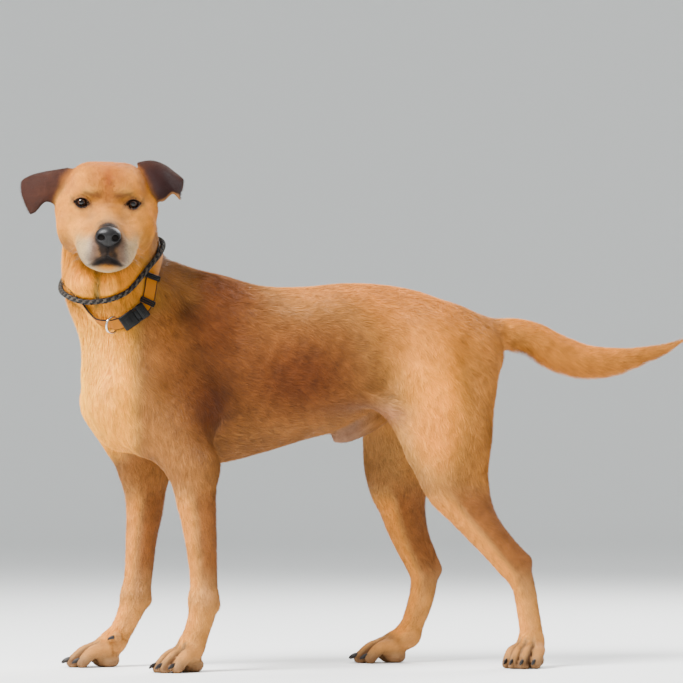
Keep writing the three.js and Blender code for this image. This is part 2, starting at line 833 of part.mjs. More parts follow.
// Each ear is one folded leather. Rows run from the skull outwards; along a row the points go from the lower
// edge of the back panel over the fold to the free edge of the flap. They are in a level frame at the head,
// as [towards the nose, sideways, up].
const EAR_THICK = 5;
const EARS = {
  right: [
    [[-68, -54, 4], [-70, -50, 30], [-56, -44, 55], [-42, -52, 36], [-36, -62, 12], [-38, -72, -6]],
    [[-86, -78, 16], [-86, -75, 34], [-68, -70, 52], [-46, -74, 36], [-38, -80, 18], [-38, -82, 4]],
    [[-90, -92, 22], [-90, -92, 34], [-72, -91, 49], [-50, -92, 34], [-40, -92, 16], [-40, -91, 3]],
    [[-88, -106, 26], [-86, -108, 34], [-72, -109, 44], [-56, -110, 28], [-46, -107, 8], [-44, -102, -9]],
    [[-80, -118, 26], [-78, -121, 32], [-70, -123, 36], [-62, -123, 22], [-52, -118, 4], [-47, -110, -13]],
  ],
  left: [
    [[-68, 56, 4], [-70, 52, 34], [-58, 43, 61], [-44, 49, 40], [-38, 58, 12], [-40, 66, -6]],
    [[-84, 74, 12], [-84, 71, 40], [-66, 64, 66], [-46, 67, 46], [-38, 70, 22], [-40, 73, 2]],
    [[-88, 88, 16], [-88, 88, 40], [-72, 84, 61], [-52, 80, 48], [-42, 82, 28], [-42, 84, 8]],
    [[-86, 100, 24], [-86, 102, 38], [-76, 100, 50], [-60, 92, 44], [-50, 91, 32], [-48, 96, 18]],
    [[-80, 110, 24], [-79, 112, 33], [-75, 112, 41], [-68, 110, 33], [-60, 108, 22], [-52, 106, 10]],
  ],
};

// A sheet through a grid of points, thickened to a closed solid that tapers towards its edges.
function leather(grid, thick) {
  const across = grid.map((row) => smoothRows(row, 2));
  const rows = smoothRows(across.map((row) => row.flat()), 1).map((flat) =>
    Array.from({ length: flat.length / 3 }, (_, i) => vec(flat.slice(3 * i, 3 * i + 3))),
  );
  const [m, n] = [rows.length, rows[0].length];
  const point = (i, j) => rows[Math.min(m - 1, Math.max(0, i))][Math.min(n - 1, Math.max(0, j))];
  const positions = [];
  for (const face of [1, -1])
    for (let i = 0; i < m; i++)
      for (let j = 0; j < n; j++) {
        const along = point(i + 1, j).clone().sub(point(i - 1, j));
        const over = point(i, j + 1).clone().sub(point(i, j - 1));
        const normal = along.cross(over).normalize();
        const rim = i === m - 1 || j === 0 || j === n - 1 ? 0.55 : 1;
        positions.push(...point(i, j).clone().addScaledVector(normal, (face * rim * thick) / 2));
      }
  const id = (face, i, j) => (face * m + i) * n + j;
  const faces = [];
  const quad = (a, b, c, d) => faces.push(a, b, c, a, c, d);
  for (let i = 0; i < m - 1; i++)
    for (let j = 0; j < n - 1; j++) {
      quad(id(0, i, j), id(0, i + 1, j), id(0, i + 1, j + 1), id(0, i, j + 1));
      quad(id(1, i, j), id(1, i, j + 1), id(1, i + 1, j + 1), id(1, i + 1, j));
    }
  for (let i = 0; i < m - 1; i++) {
    quad(id(1, i, 0), id(1, i + 1, 0), id(0, i + 1, 0), id(0, i, 0));
    quad(id(0, i, n - 1), id(0, i + 1, n - 1), id(1, i + 1, n - 1), id(1, i, n - 1));
  }
  for (let j = 0; j < n - 1; j++) {
    quad(id(0, 0, j), id(0, 0, j + 1), id(1, 0, j + 1), id(1, 0, j));
    quad(id(1, m - 1, j), id(1, m - 1, j + 1), id(0, m - 1, j + 1), id(0, m - 1, j));
  }
  const geometry = new THREE.BufferGeometry();
  geometry.setAttribute("position", new THREE.Float32BufferAttribute(positions, 3));
  geometry.setIndex(faces);
  return geometry;
}

function addEars() {
  const levelFrame = frameOf(HEAD_AT, HEAD_TURN, 0, 0);
  const around = skin(...HEAD_BOX, HEAD_CELL, GAP);
  for (const [name, grid] of Object.entries(EARS)) {
    const ear = outward(leather(grid, EAR_THICK).applyMatrix4(levelFrame));
    addNode(`ear_${name}`, seat(ear, around, ["head", "neck"]), EAR_BROWN);
  }
}

// ---- Claws ---------------------------------------------------------------------------------------------

// A short curved claw from a root, heading forwards and bending down, in a given frame.
function claw(root, length, thick, frame) {
  const rows = [0, 0.55, 1].map((t) => [
    root[0] + length * t,
    root[1],
    root[2] - length * (0.1 * t + 0.5 * t * t),
    thick * (1 - 0.8 * t),
  ]);
  const sides = 5;
  const positions = rows.flatMap(([x, y, z, r]) =>
    Array.from({ length: sides }, (_, i) => {
      const a = (2 * Math.PI * i) / sides;
      return [x + 0.5 * r * Math.sin(a), y + 0.75 * r * Math.cos(a), z + r * Math.sin(a)];
    }).flat(),
  );
  const faces = [];
  for (let k = 0; k < rows.length - 1; k++)
    for (let i = 0; i < sides; i++) {
      const [a, b] = [k * sides + i, k * sides + ((i + 1) % sides)];
      faces.push(a, a + sides, b + sides, a, b + sides, b);
    }
  for (let i = 1; i < sides - 1; i++) {
    faces.push(0, i, i + 1);
    const end = (rows.length - 1) * sides;
    faces.push(end, end + i + 1, end + i);
  }
  const geometry = new THREE.BufferGeometry();
  geometry.setAttribute("position", new THREE.Float32BufferAttribute(positions, 3));
  geometry.setIndex(faces);
  return outward(geometry.applyMatrix4(frame));
}

function addClaws() {
  for (const [kind, legs] of [
    ["fore", FORELEGS],
    ["hind", HINDLEGS],
  ])
    for (const [name, leg] of Object.entries(legs)) {
      const frame = pawFrame(leg);
      const at = leg.paw;
      const around = skin(
        [at[0] - 75, at[1] - 75, -20],
        [at[0] + 75, at[1] + 75, 110],
        LIMB_CELL.paw,
        GAP,
      );
      TOES.forEach((toe, i) => {
        const root = [toe.tip + toe.radius - 5, toe.across, 10];
        const nail = claw(root, 13, 3.6, frame);
        const seated = seat(nail, around, [`${kind}_${name}_paw`]).intersect(ground);
        addNode(`claw_${kind}_${name}_${i + 1}`, seated, HORN);
      });
      if (leg.dewclaw) {
        const nail = claw([-20, 21 * leg.side, 44], 11, 3, frame);
        const nodes = [`${kind}_${name}_paw`, `${kind}_${name}_forearm`];
        addNode(`dewclaw_${name}`, seat(nail, around, nodes), HORN);
      }
    }
}

// ---- Collars -------------------------------------------------------------------------------------------

// Both collars are paths round the neck in one tilted frame: rows of [degrees round from the throat, height
// along the neck, distance off the skin, twist of the band about its path].
const NECK_AT = [-352, -8, 592];
const NECK_UP = vec([-0.406, -0.299, 0.864]).normalize();
const THROAT = vec([-0.3, -0.95, 0]).projectOnPlane(NECK_UP).normalize();
const ROPE = { radius: 4.3, sides: 6, finer: 2 };
const ROPE_PATH = [
  [-180, 4, 7.4, 0],
  [-150, 2, 7.4, 0],
  [-120, 0, 7.4, 0],
  [-85, -3, 7.4, 0],
  [-60, -4, 7.6, 0],
  [-44, -6, 7.6, 0],
  [-28, -10, 5.4, 0],
  [-8, -11, 4.9, 0],
  [10, -10, 4.9, 0],
  [24, -3, 4.9, 0],
  [36, 3, 6, 0],
  [50, 8, 7.4, 0],
  [75, 11, 7.4, 0],
  [110, 11, 7.4, 0],
  [148, 8, 7.4, 0],
];
const WEBBING = { wide: 18, thick: 2, finer: 2 };
const WEBBING_PATH = [
  [-180, 3, 1, 0],
  [-145, 1, 1, 0],
  [-110, -2, 1, 0],
  [-75, -4, 1, 0],
  [-56, -5, 0.8, 0],
  [-46, -10, 0.9, 0],
  [-39, -22, 2.5, 8],
  [-31, -35, 5.5, 20],
  [-22, -42, 6.5, 10],
  [-10, -46, 6.5, 0],
  [2, -46.5, 5, 0],
  [14, -42, 3, 0],
  [24, -34, 1.5, 0],
  [32, -22, 0.9, 0],
  [42, -10, 0.7, 0],
  [58, -1, 0.7, 0],
  [78, 6, 1, 0],
  [110, 8, 1, 0],
  [145, 6, 1, 0],
];
// What is on the webbing: its size along, across and off the band, and its row of the path.
const BUCKLE = [42, 23, 8];
const BUCKLE_ROW = 10.5;
const SLIDER = [7, 23, 3];
const SLIDER_ROW = 12;
const RING = { radius: 12, wire: 1.5 };
const RING_ROW = 9;

// Distance from a point on the neck's axis to the skin along a direction.
function reachSkin(from, direction) {
  let r = 60;
  for (let i = 0; i < 60; i++) {
    const d = bodyField(...from.clone().addScaledVector(direction, r).toArray());
    r -= d * 0.8;
    if (Math.abs(d) < 0.01) break;
  }
  return r;
}

// Frames along a closed path: middle, the way it runs, across its band and away from the skin.
function pathFrames(path, finer) {
  const closed = [...path, ...path.slice(0, 3).map(([a, ...rest]) => [a + 360, ...rest])];
  const before = [path[path.length - 1]].map(([a, ...rest]) => [a - 360, ...rest]);
  const rows = smoothRows([...before, ...closed], finer).slice(finer, finer + path.length * finer);
  const side = NECK_UP.clone().cross(THROAT);
  const outAt = (a) =>
    THROAT.clone().multiplyScalar(Math.cos(a)).addScaledVector(side, Math.sin(a));
  const points = rows.map(([turn, height, off]) => {
    const out = outAt(degrees(turn));
    const from = vec(NECK_AT).addScaledVector(NECK_UP, height);
    return from.clone().addScaledVector(out, reachSkin(from, out) + off);
  });
  return points.map((middle, i) => {
    const n = points.length;
    const run = points[(i + 1) % n].clone().sub(points[(i + n - 1) % n]).normalize();
    const e = 1;
    const slope = vec(
      [0, 1, 2].map((k) => {
        const step = [0, 1, 2].map((j) => (j === k ? e : 0));
        const p = middle.toArray();
        return (
          bodyField(...p.map((v, j) => v + step[j])) - bodyField(...p.map((v, j) => v - step[j]))
        );
      }),
    ).normalize();
    const off = slope.addScaledVector(run, -slope.dot(run)).normalize();
    const wide = off.clone().cross(run);
    const twist = degrees(rows[i][3]);
    return {
      middle,
      run,
      off: off.clone().multiplyScalar(Math.cos(twist)).addScaledVector(wide, -Math.sin(twist)),
      wide: wide.clone().multiplyScalar(Math.cos(twist)).addScaledVector(off, Math.sin(twist)),
    };
  });
}

// A closed band with a section of [off the skin, across].
function sweep(frames, section) {
  const positions = frames.flatMap(({ middle, wide, off }) =>
    section.flatMap(([o, w]) =>
      middle.clone().addScaledVector(off, o).addScaledVector(wide, w).toArray(),
    ),
  );
  const [m, n] = [frames.length, section.length];
  const faces = [];
  for (let i = 0; i < m; i++)
    for (let j = 0; j < n; j++) {
      const [a, b] = [i * n + j, i * n + ((j + 1) % n)];
      const [c, d] = [((i + 1) % m) * n + ((j + 1) % n), ((i + 1) % m) * n + j];
      faces.push(a, b, c, a, c, d);
    }
  const geometry = new THREE.BufferGeometry();
  geometry.setAttribute("position", new THREE.Float32BufferAttribute(positions, 3));
  geometry.setIndex(faces);
  return outward(geometry);
}

// A solid placed in a frame of the path: x runs along it, y across the band, z off the skin.
function onPath(geometry, { middle, run, wide, off }, lift) {
  const m = new THREE.Matrix4().makeBasis(run, wide, off).setPosition(...middle.toArray());
  return outward(geometry.translate(0, 0, lift).applyMatrix4(m));
}

// A round section of the rope.
const round = (radius) =>
  Array.from({ length: ROPE.sides }, (_, i) => {
    const a = (2 * Math.PI * (i + 0.5)) / ROPE.sides;
    return [radius * Math.cos(a), radius * Math.sin(a)];
  });

function addCollars() {
  const around = skin([-480, -200, 420], [-180, 140, 760], NECK_CELL, GAP);
  const onFlesh = (piece) => seat(piece, around, ["neck", "head", "trunk"]);
  const { wide, thick } = WEBBING;
  const webbing = pathFrames(WEBBING_PATH, WEBBING.finer);
  const at = (row) => webbing[Math.round(row * WEBBING.finer)];
  const flat = [
    [0, -wide / 2],
    [thick, -wide / 2],
    [thick, wide / 2],
    [0, wide / 2],
  ];
  const block = ([x, y, z], row, lift, grow = 0) => {
    const box = new THREE.BoxGeometry(x + 2 * grow, y + 2 * grow, z + 2 * grow);
    return onPath(mergeVertices(box.deleteAttribute("uv").deleteAttribute("normal")), at(row), lift);
  };
  const rope = pathFrames(ROPE_PATH, ROPE.finer);
  const strap = sweep(webbing, flat)
    .subtract(sweep(rope, round(ROPE.radius + GAP)))
    .subtract(block(BUCKLE, BUCKLE_ROW, BUCKLE[2] / 2, GAP));
  addNode("webbing_collar", onFlesh(strap), YELLOW_WEBBING);
  addNode("buckle", onFlesh(block(BUCKLE, BUCKLE_ROW, BUCKLE[2] / 2)), BLACK_PLASTIC);
  addNode("slider", onFlesh(block(SLIDER, SLIDER_ROW, thick + GAP + SLIDER[2] / 2)), BLACK_PLASTIC);
  const ring = new THREE.TorusGeometry(RING.radius, RING.wire, 5, 14).rotateY(Math.PI / 2);
  addNode("ring", onFlesh(onPath(mergeVertices(ring), at(RING_ROW), thick / 2)), STEEL);
  addNode("rope_collar", onFlesh(sweep(rope, round(ROPE.radius))), DARK_ROPE);
}

addBody();
addHead();
addEars();
addClaws();
addCollars();

// The origin is on the floor under the middle of the whole dog.
const bounds = new THREE.Box3().setFromObject(dog);
const middle = bounds.getCenter(new THREE.Vector3());
dog.position.set(-middle.x, -middle.y, -bounds.min.z);

export default dog;
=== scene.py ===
# A tan short-haired dog, standing with its head turned to its left. The body is one smooth field, negative
# inside the flesh, in the millimetres and the axes of the solids: the dog faces -X and its left is -Y.
import math
from functools import cache
from itertools import product

import bmesh
import bpy
import numpy as np
from mathutils import Matrix, Vector
from mathutils.bvhtree import BVHTree
from mathutils.kdtree import KDTree


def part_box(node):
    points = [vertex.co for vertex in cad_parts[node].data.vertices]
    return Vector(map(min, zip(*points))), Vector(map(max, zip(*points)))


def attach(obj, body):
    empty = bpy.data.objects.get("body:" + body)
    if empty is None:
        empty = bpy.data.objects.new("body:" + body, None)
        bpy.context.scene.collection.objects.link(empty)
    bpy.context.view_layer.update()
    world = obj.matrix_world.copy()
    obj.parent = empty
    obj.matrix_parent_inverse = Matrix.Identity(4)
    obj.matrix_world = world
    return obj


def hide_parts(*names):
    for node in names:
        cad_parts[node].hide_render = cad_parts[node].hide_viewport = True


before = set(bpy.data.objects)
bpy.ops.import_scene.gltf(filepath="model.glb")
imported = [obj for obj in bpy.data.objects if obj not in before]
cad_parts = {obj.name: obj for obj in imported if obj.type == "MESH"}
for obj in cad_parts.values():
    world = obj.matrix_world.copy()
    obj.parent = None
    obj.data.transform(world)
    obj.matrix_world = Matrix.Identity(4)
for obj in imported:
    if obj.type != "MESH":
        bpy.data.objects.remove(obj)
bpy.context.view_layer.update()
MM = 0.001
LEFT, RIGHT = -1, 1
GROUND = 4.0  # level of the paws' flats in the tables below
rng = np.random.default_rng(41)

# ---- Driving dimensions -------------------------------------------------------------------------------

HEAD_AT = (-387, -145, 680)
HEAD_TURN, HEAD_NOD, HEAD_ROLL = 80, 10, 1.5
EYE = {"spread": 36.5, "radius": 11, "depth": -8.5, "wide": 21, "high": 12}
TRUNK = [  # x, height of the back, height of the belly, half width
    (-352, 548, 338, 66), (-300, 582, 318, 80), (-250, 592, 308, 88), (-195, 590, 305, 94),
    (-126, 573, 321, 99), (-60, 572, 341, 97), (0, 578, 357, 89), (60, 577, 386, 79),
    (120, 567, 402, 72), (170, 547, 414, 66), (212, 524, 428, 54), (238, 508, 446, 38),
]
NECK = [
    (-256, 0, 486, 88), (-300, -1, 524, 90), (-338, -4, 560, 83),
    (-354, -14, 608, 75), (-356, -26, 652, 67), (-352, -38, 680, 52),
]
TAIL = [
    (218, 0, 500, 28), (244, 0, 502, 26), (270, 1, 502, 27), (303, 2, 494, 29), (330, 3, 480, 30),
    (357, 3, 469, 30), (384, 3, 462, 28), (411, 3, 461, 25.5), (437, 2, 463, 22), (458, 1, 467, 18),
    (485, 0, 474, 14), (511, 0, 482, 10), (530, 0, 490, 6), (543, 0, 498, 3),
]
SHEATH = [(-6, 0, 346, 9), (8, 0, 353, 15), (40, 0, 372, 20), (74, 0, 392, 18)]
# Each leg as a run of (x, y, z, radius) from the elbow or hip down, with its paw's place and heading in
# degrees outwards. A hind leg has a second run down its back edge, to the point of the hock.
LEGS = {
    "fore_left": {
        "side": LEFT, "withers": (-208, -40, 548), "shoulder": (-328, -64, 404), "elbow": (-246, -84, 304),
        "shin": [
            (-246, -86, 300, 36), (-243, -87, 257, 31), (-237, -87, 212, 26), (-233, -87, 168, 22.5),
            (-231, -86, 134, 21), (-231, -86, 106, 22), (-235, -87, 83, 20.5), (-243, -88, 58, 19.5),
            (-250, -89, 42, 20),
        ],
        "paw": (-262, -90), "heading": 22, "dewclaw": True,
    },
    "fore_right": {
        "side": RIGHT, "withers": (-212, 40, 548), "shoulder": (-334, 64, 402), "elbow": (-284, 82, 300),
        "shin": [
            (-284, 82, 296, 36), (-283, 82, 245, 30), (-288, 82, 199, 25), (-293, 81, 141, 22),
            (-298, 80, 108, 22), (-309, 80, 78, 19), (-321, 79, 55, 18), (-331, 79, 42, 19),
        ],
        "paw": (-354, 78), "heading": 6, "dewclaw": True,
    },
    "hind_left": {
        "side": LEFT,
        "shin": [
            (116, -40, 476, 66), (126, -56, 410, 61), (132, -72, 350, 52), (134, -81, 305, 44),
            (142, -86, 270, 36), (162, -88, 243, 30), (186, -90, 214, 26.5), (210, -91, 188, 24.5),
            (234, -91, 160, 23), (248, -91, 143, 21), (257, -91, 122, 18.5), (263, -92, 88, 18),
            (267, -95, 56, 18.5), (266, -98, 42, 20),
        ],
        "hamstring": [
            (196, -38, 466, 44), (182, -54, 400, 42), (176, -68, 350, 40), (172, -77, 300, 35),
            (178, -84, 262, 29), (192, -88, 232, 21), (214, -90, 204, 13), (240, -91, 180, 9),
            (261, -91, 163, 9),
        ],
        "paw": (257, -108), "heading": 52, "dewclaw": False,
    },
    "hind_right": {
        "side": RIGHT,
        "shin": [
            (112, 40, 476, 66), (108, 56, 410, 60), (104, 72, 350, 50), (100, 81, 310, 44),
            (104, 85, 272, 38), (112, 86, 244, 32), (120, 86, 216, 28.5), (132, 86, 184, 25),
            (144, 85, 159, 23), (153, 85, 133, 21.5), (149, 85, 102, 20.5), (138, 85, 70, 19),
            (128, 85, 46, 19.5),
        ],
        "hamstring": [
            (190, 38, 464, 42), (166, 54, 400, 40), (146, 68, 350, 38), (132, 77, 300, 34),
            (130, 83, 262, 27), (138, 85, 230, 18), (151, 85, 200, 10), (164, 85, 170, 8),
            (173, 84, 146, 9),
        ],
        "paw": (92, 86), "heading": 8, "dewclaw": False,
    },
}


# ---- Small helpers ------------------------------------------------------------------------------------

def vec(p):
    return np.array(p, float)


def unit(v):
    v = np.asarray(v, float)
    return v / (np.linalg.norm(v, axis=-1, keepdims=True) + 1e-12)


def rotation(axis, angle):
    return np.array(Matrix.Rotation(math.radians(angle), 3, axis))


class Frame:
    """A place with its own axes: local x is forward, y is the dog's left and z is up."""

    def __init__(self, at, turn, nod=0.0, roll=0.0):
        self.at = vec(at)
        self.axes = rotation("Z", 180 + turn) @ rotation("Y", nod) @ rotation("X", -roll)

    def out(self, p):
        return np.asarray(p, float) @ self.axes.T + self.at

    def local(self, p):
        return (np.asarray(p, float) - self.at) @ self.axes

    def turn_out(self, v):
        return np.asarray(v, float) @ self.axes.T


HEAD = Frame(HEAD_AT, HEAD_TURN, HEAD_NOD, HEAD_ROLL)
LEVEL_HEAD = Frame(HEAD_AT, HEAD_TURN)
lo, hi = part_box("eye_left")
SHIFT = (vec(lo) + vec(hi)) / 2 - HEAD.out((EYE["depth"], EYE["spread"], 0)) * MM


def to_row(p):
    """From the body's millimetres to the part's frame in metres."""
    return np.asarray(p, float) * MM + SHIFT


def smooth_rows(rows, pieces):
    """Catmull-Rom points through rows of numbers."""
    rows = np.array(rows, float)
    last = len(rows) - 1
    fine = []
    for i in range(last):
        p0, p1, p2, p3 = (rows[min(last, max(0, j))] for j in (i - 1, i, i + 1, i + 2))
        for s in range(pieces):
            t = s / pieces
            cubic = t * (3 * (p1 - p2) + p3 - p0)
            fine.append(p1 + 0.5 * t * (p2 - p0 + t * (2 * p0 - 5 * p1 + 4 * p2 - p3 + cubic)))
    fine.append(rows[last])
    return np.array(fine)


def smoothstep(low, high, x):
    t = np.clip((x - low) / (high - low), 0, 1)
    return t * t * (3 - 2 * t)


def ripple(p, wave, seed, waves=7):
    """Smooth noise of about unit size over points, with features of about `wave` millimetres."""
    draw = np.random.default_rng(seed)
    k = unit(draw.normal(size=(waves, 3))) * draw.uniform(0.7, 1.4, (waves, 1)) * 2 * math.pi / (2 * wave)
    return np.sin(p @ k.T + draw.uniform(0, 2 * math.pi, waves)).sum(1) / math.sqrt(waves / 2)


# ---- Fields -------------------------------------------------------------------------------------------

class Shape:
    """A distance, with the box that holds the shape so that far points can be passed over."""

    def __init__(self, low, high, distance):
        self.low, self.high, self.distance = vec(low), vec(high), distance

    def near(self, p, margin):
        return np.flatnonzero(((p > self.low - margin) & (p < self.high + margin)).all(1))


def bone(a, b, ra, rb, flat=1.0):
    """Two spheres joined by the cone that touches both."""
    a, b, stretch = vec(a), vec(b), vec((1, flat, 1))
    axis = (b - a) * stretch
    length = np.linalg.norm(axis)
    taper = min(0.95, max(-0.95, (rb - ra) / length))
    lean = taper / math.sqrt(1 - taper * taper)

    def distance(p, margin):
        q = (p - a) * stretch
        along = q @ axis / length
        off = np.sqrt(np.maximum(0, (q * q).sum(1) - along * along))
        s = np.clip(along + off * lean, 0, length)
        return np.hypot(off, along - s) - (ra + (rb - ra) * s / length)

    r = max(ra, rb)
    return Shape(np.minimum(a, b) - r, np.maximum(a, b) + r, distance)


def limb(rows, flat=1.0, pieces=5):
    """A smooth run of bones through rows (x, y, z, radius)."""
    fine = smooth_rows(rows, pieces)
    bones = [bone(p[:3], q[:3], p[3], q[3], flat) for p, q in zip(fine, fine[1:])]

    def distance(p, margin):
        d = np.full(len(p), 1e3)
        for b in bones:
            near = b.near(p, margin)
            if len(near):
                d[near] = np.minimum(d[near], b.distance(p[near], margin))
        return d

    return Shape(np.min([b.low for b in bones], 0), np.max([b.high for b in bones], 0), distance)


def muscle(c, r, pitch=0, yaw=0):
    """An ellipsoid with half sizes r."""
    c, r = vec(c), vec(r)
    axes = rotation("Z", yaw) @ rotation("Y", pitch)

    def distance(p, margin):
        u = (p - c) @ axes / r
        k0 = np.sqrt((u * u).sum(1)) + 1e-6
        k1 = np.sqrt(((u / r) ** 2).sum(1)) + 1e-9
        return k0 * (k0 - 1) / k1

    reach = max(r) if pitch or yaw else r
    return Shape(c - reach, c + reach, distance)


def loft(rows):
    """A body of egg-shaped sections through rows (x, top, bottom, half width)."""
    fine = smooth_rows(rows, 6)
    start, end = rows[0][0], rows[-1][0]

    def distance(p, margin):
        top, bottom, half = (np.interp(p[:, 0], fine[:, 0], fine[:, i]) for i in (1, 2, 3))
        tall = (top - bottom) / 2
        w = (p[:, 2] - (top + bottom) / 2) / tall
        wide = half * (0.97 + 0.16 * np.clip(w, -1, 1))
        v = p[:, 1] / wide
        k0 = np.sqrt(v * v + w * w) + 1e-6
        k1 = np.sqrt((v / wide) ** 2 + (w / tall) ** 2) + 1e-9
        return np.maximum(k0 * (k0 - 1) / k1, np.maximum(start - p[:, 0], p[:, 0] - end))

    widest = fine[:, 3].max() * 1.13
    return Shape((start, -widest, fine[:, 2].min()), (end, widest, fine[:, 1].max()), distance)


def soften(a, b, k):
    """The smaller of two distances, with a fillet of about k where they meet."""
    h = np.maximum(k - np.abs(a - b), 0) / k
    return np.minimum(a, b) - h * h * k / 4


def fold(shapes, p, reach=12.0):
    """Joins a list of (shape, fillet) into one distance at points p. A fillet under 0 carves."""
    d = np.full(len(p), 1e3)
    for shape, k in shapes:
        margin = abs(k) + reach
        near = shape.near(p, margin)
        if len(near):
            s = shape.distance(p[near], margin)
            d[near] = -soften(-d[near], s, -k) if k < 0 else soften(d[near], s, k)
    return d


def framed(place, shapes):
    """Shapes that are given in a frame of their own, as one shape."""
    corners = place.out([corner for shape, _ in shapes for corner in product(*zip(shape.low, shape.high))])
    return Shape(corners.min(0), corners.max(0), lambda p, margin: fold(shapes, place.local(p), margin))


def both_sides(make):
    return [item for s in (LEFT, RIGHT) for item in make(s)]


# ---- The body -----------------------------------------------------------------------------------------

trunk_flesh = [
    (loft(TRUNK), 1),
    (muscle((-334, 0, 436), (62, 74, 106)), 30),
    (muscle((172, 0, 474), (66, 70, 66)), 30),
    *both_sides(lambda s: [
        (bone((-350, 34 * s, 388), (-318, 66 * s, 340), 34, 22), 26),
        (limb([(-60, 62 * s, 404, 10), (-20, 62 * s, 402, 11), (22, 62 * s, 402, 13), (52, 64 * s, 392, 15),
               (80, 68 * s, 362, 15), (98, 74 * s, 326, 14)]), 22),
    ]),
]


def leg_flesh(leg):
    """The shoulder, upper arm, elbow, forearm and wrist of a foreleg, or the two runs of a hind leg."""
    if "hamstring" in leg:
        return [(limb(leg["shin"], 1.3), 30), (limb(leg["hamstring"], 1.3), 18)]
    side, shoulder, elbow = leg["side"], vec(leg["shoulder"]), vec(leg["elbow"])
    triceps = shoulder + (elbow - shoulder) * 0.62
    carpus = vec(leg["shin"][-4])[:3]
    return [
        (bone(leg["withers"], shoulder, 30, 42, 1.35), 26),
        (bone(shoulder, elbow, 47, 38, 1.3), 22),
        (muscle(triceps + (32, 0, 34), (42, 25, 62), 24), 24),
        (limb(leg["shin"], 1.15), 14),
        (muscle(elbow + (24, 0, -2), (12, 13, 18)), 12),
        (muscle(carpus + (0, 0, 2), (22.5, 23, 24)), 8),
        (muscle(carpus + (19, -side, -6), (7, 8, 9)), 6),
    ]


# Each toe: how far across the paw, how far forward its knuckle and its tip are, and its radius.
TOES = [(-22, 10, 26, 10), (-8, 18, 38, 11), (8, 18, 38, 11), (22, 10, 26, 10)]


def paw_frame(leg):
    """A frame on the floor under a paw, with x along its toes."""
    return Frame((*leg["paw"], GROUND), -leg["side"] * leg["heading"])


def paw_flesh(leg):
    """The pastern, the pad, four toes and, on a foreleg, the root of the dewclaw."""
    place = paw_frame(leg)
    fetlock = place.local(leg["shin"][-1][:3])
    shapes = [(bone(fetlock, (-2, 0, 22), 19, 20), 12)]
    if leg["dewclaw"]:
        shapes.append((muscle((-26, 18 * leg["side"], 46), (9, 6, 9)), 6))
    shapes.append((muscle((-14, 0, 10), (18, 21, 13)), 8))
    for across, knuckle, tip, radius in TOES:
        root, joint = (-8, across * 0.6, 26, 12), (knuckle, across * 0.92, 23, radius)
        shapes.append((limb([root, joint, (tip, across, 7, radius - 1)]), 5))
    return framed(place, shapes)


head_shapes = [
    (muscle((-60, 0, 3), (64, 54, 52)), 1),
    *both_sides(lambda s: [
        (muscle((-56, 30 * s, 17), (42, 28, 34)), 18),
        (muscle((-62, 57 * s, 4), (20, 17, 26)), 16),
        (muscle((-44, 46 * s, -33), (46, 26, 45)), 22),
        (bone((2, 34 * s, -18), (-34, 58 * s, -10), 11, 14), 16),
        (muscle((-15, 24 * s, 15), (19, 21, 12)), 14),
        (bone((-6, 40 * s, -34), (54, 21 * s, -50), 25, 21), 26),
        (muscle((62, 19 * s, -60), (40, 21, 26), 4), 14),
    ]),
    (muscle((-27, 0, 14), (31, 43, 38)), 18),
    (bone((8, 0, -24), (90, 0, -37), 22, 18), 18),
    (bone((-48, 0, -62), (66, 0, -72), 32, 16), 18),
    (muscle((76, 0, -77), (24, 20, 13)), 8),
    (muscle((92, 0, -50), (15, 23, 22)), 12),
    *both_sides(lambda s: [(muscle((-9, 36.5 * s, 0), (13.5, 15, 13)), 8)]),
]

# Each part of the body as a list of (shape, fillet), in the order in which they are joined.
PARTS = {
    "trunk": trunk_flesh,
    **{name: leg_flesh(leg) for name, leg in LEGS.items()},
    "neck": [(limb(NECK), 34)],
    "head": [(framed(HEAD, head_shapes), 22)],
    "throat": [(muscle((-398, -46, 574), (26, 34, 26)), 16), (muscle((-370, -72, 572), (19, 26, 27)), 10)],
    **{f"paw_{name}": [(paw_flesh(leg), 8)] for name, leg in LEGS.items()},
    "tail": [(limb(TAIL, 1.2), 20)],
    "sheath": [(limb(SHEATH), 12)],
}
BODY = [item for part in PARTS.values() for item in part]
TETRAHEDRON = [np.array(corner, float) for corner in ((1, 1, 1), (1, -1, -1), (-1, 1, -1), (-1, -1, 1))]


def along_line(p, line, pieces=6):
    """Distance to a line through points, and how far along it the nearest place is, from 0 to 1."""
    fine = smooth_rows(line, pieces)
    best, where = np.full(len(p), 1e3), np.zeros(len(p))
    for i, (a, b) in enumerate(zip(fine, fine[1:])):
        ab = b - a
        t = np.clip((p - a) @ ab / (ab @ ab), 0, 1)
        d = np.linalg.norm(p - a - t[:, None] * ab, axis=1)
        closer = d < best
        best[closer] = d[closer]
        where[closer] = (i + t[closer]) / (len(fine) - 1)
    return best, where


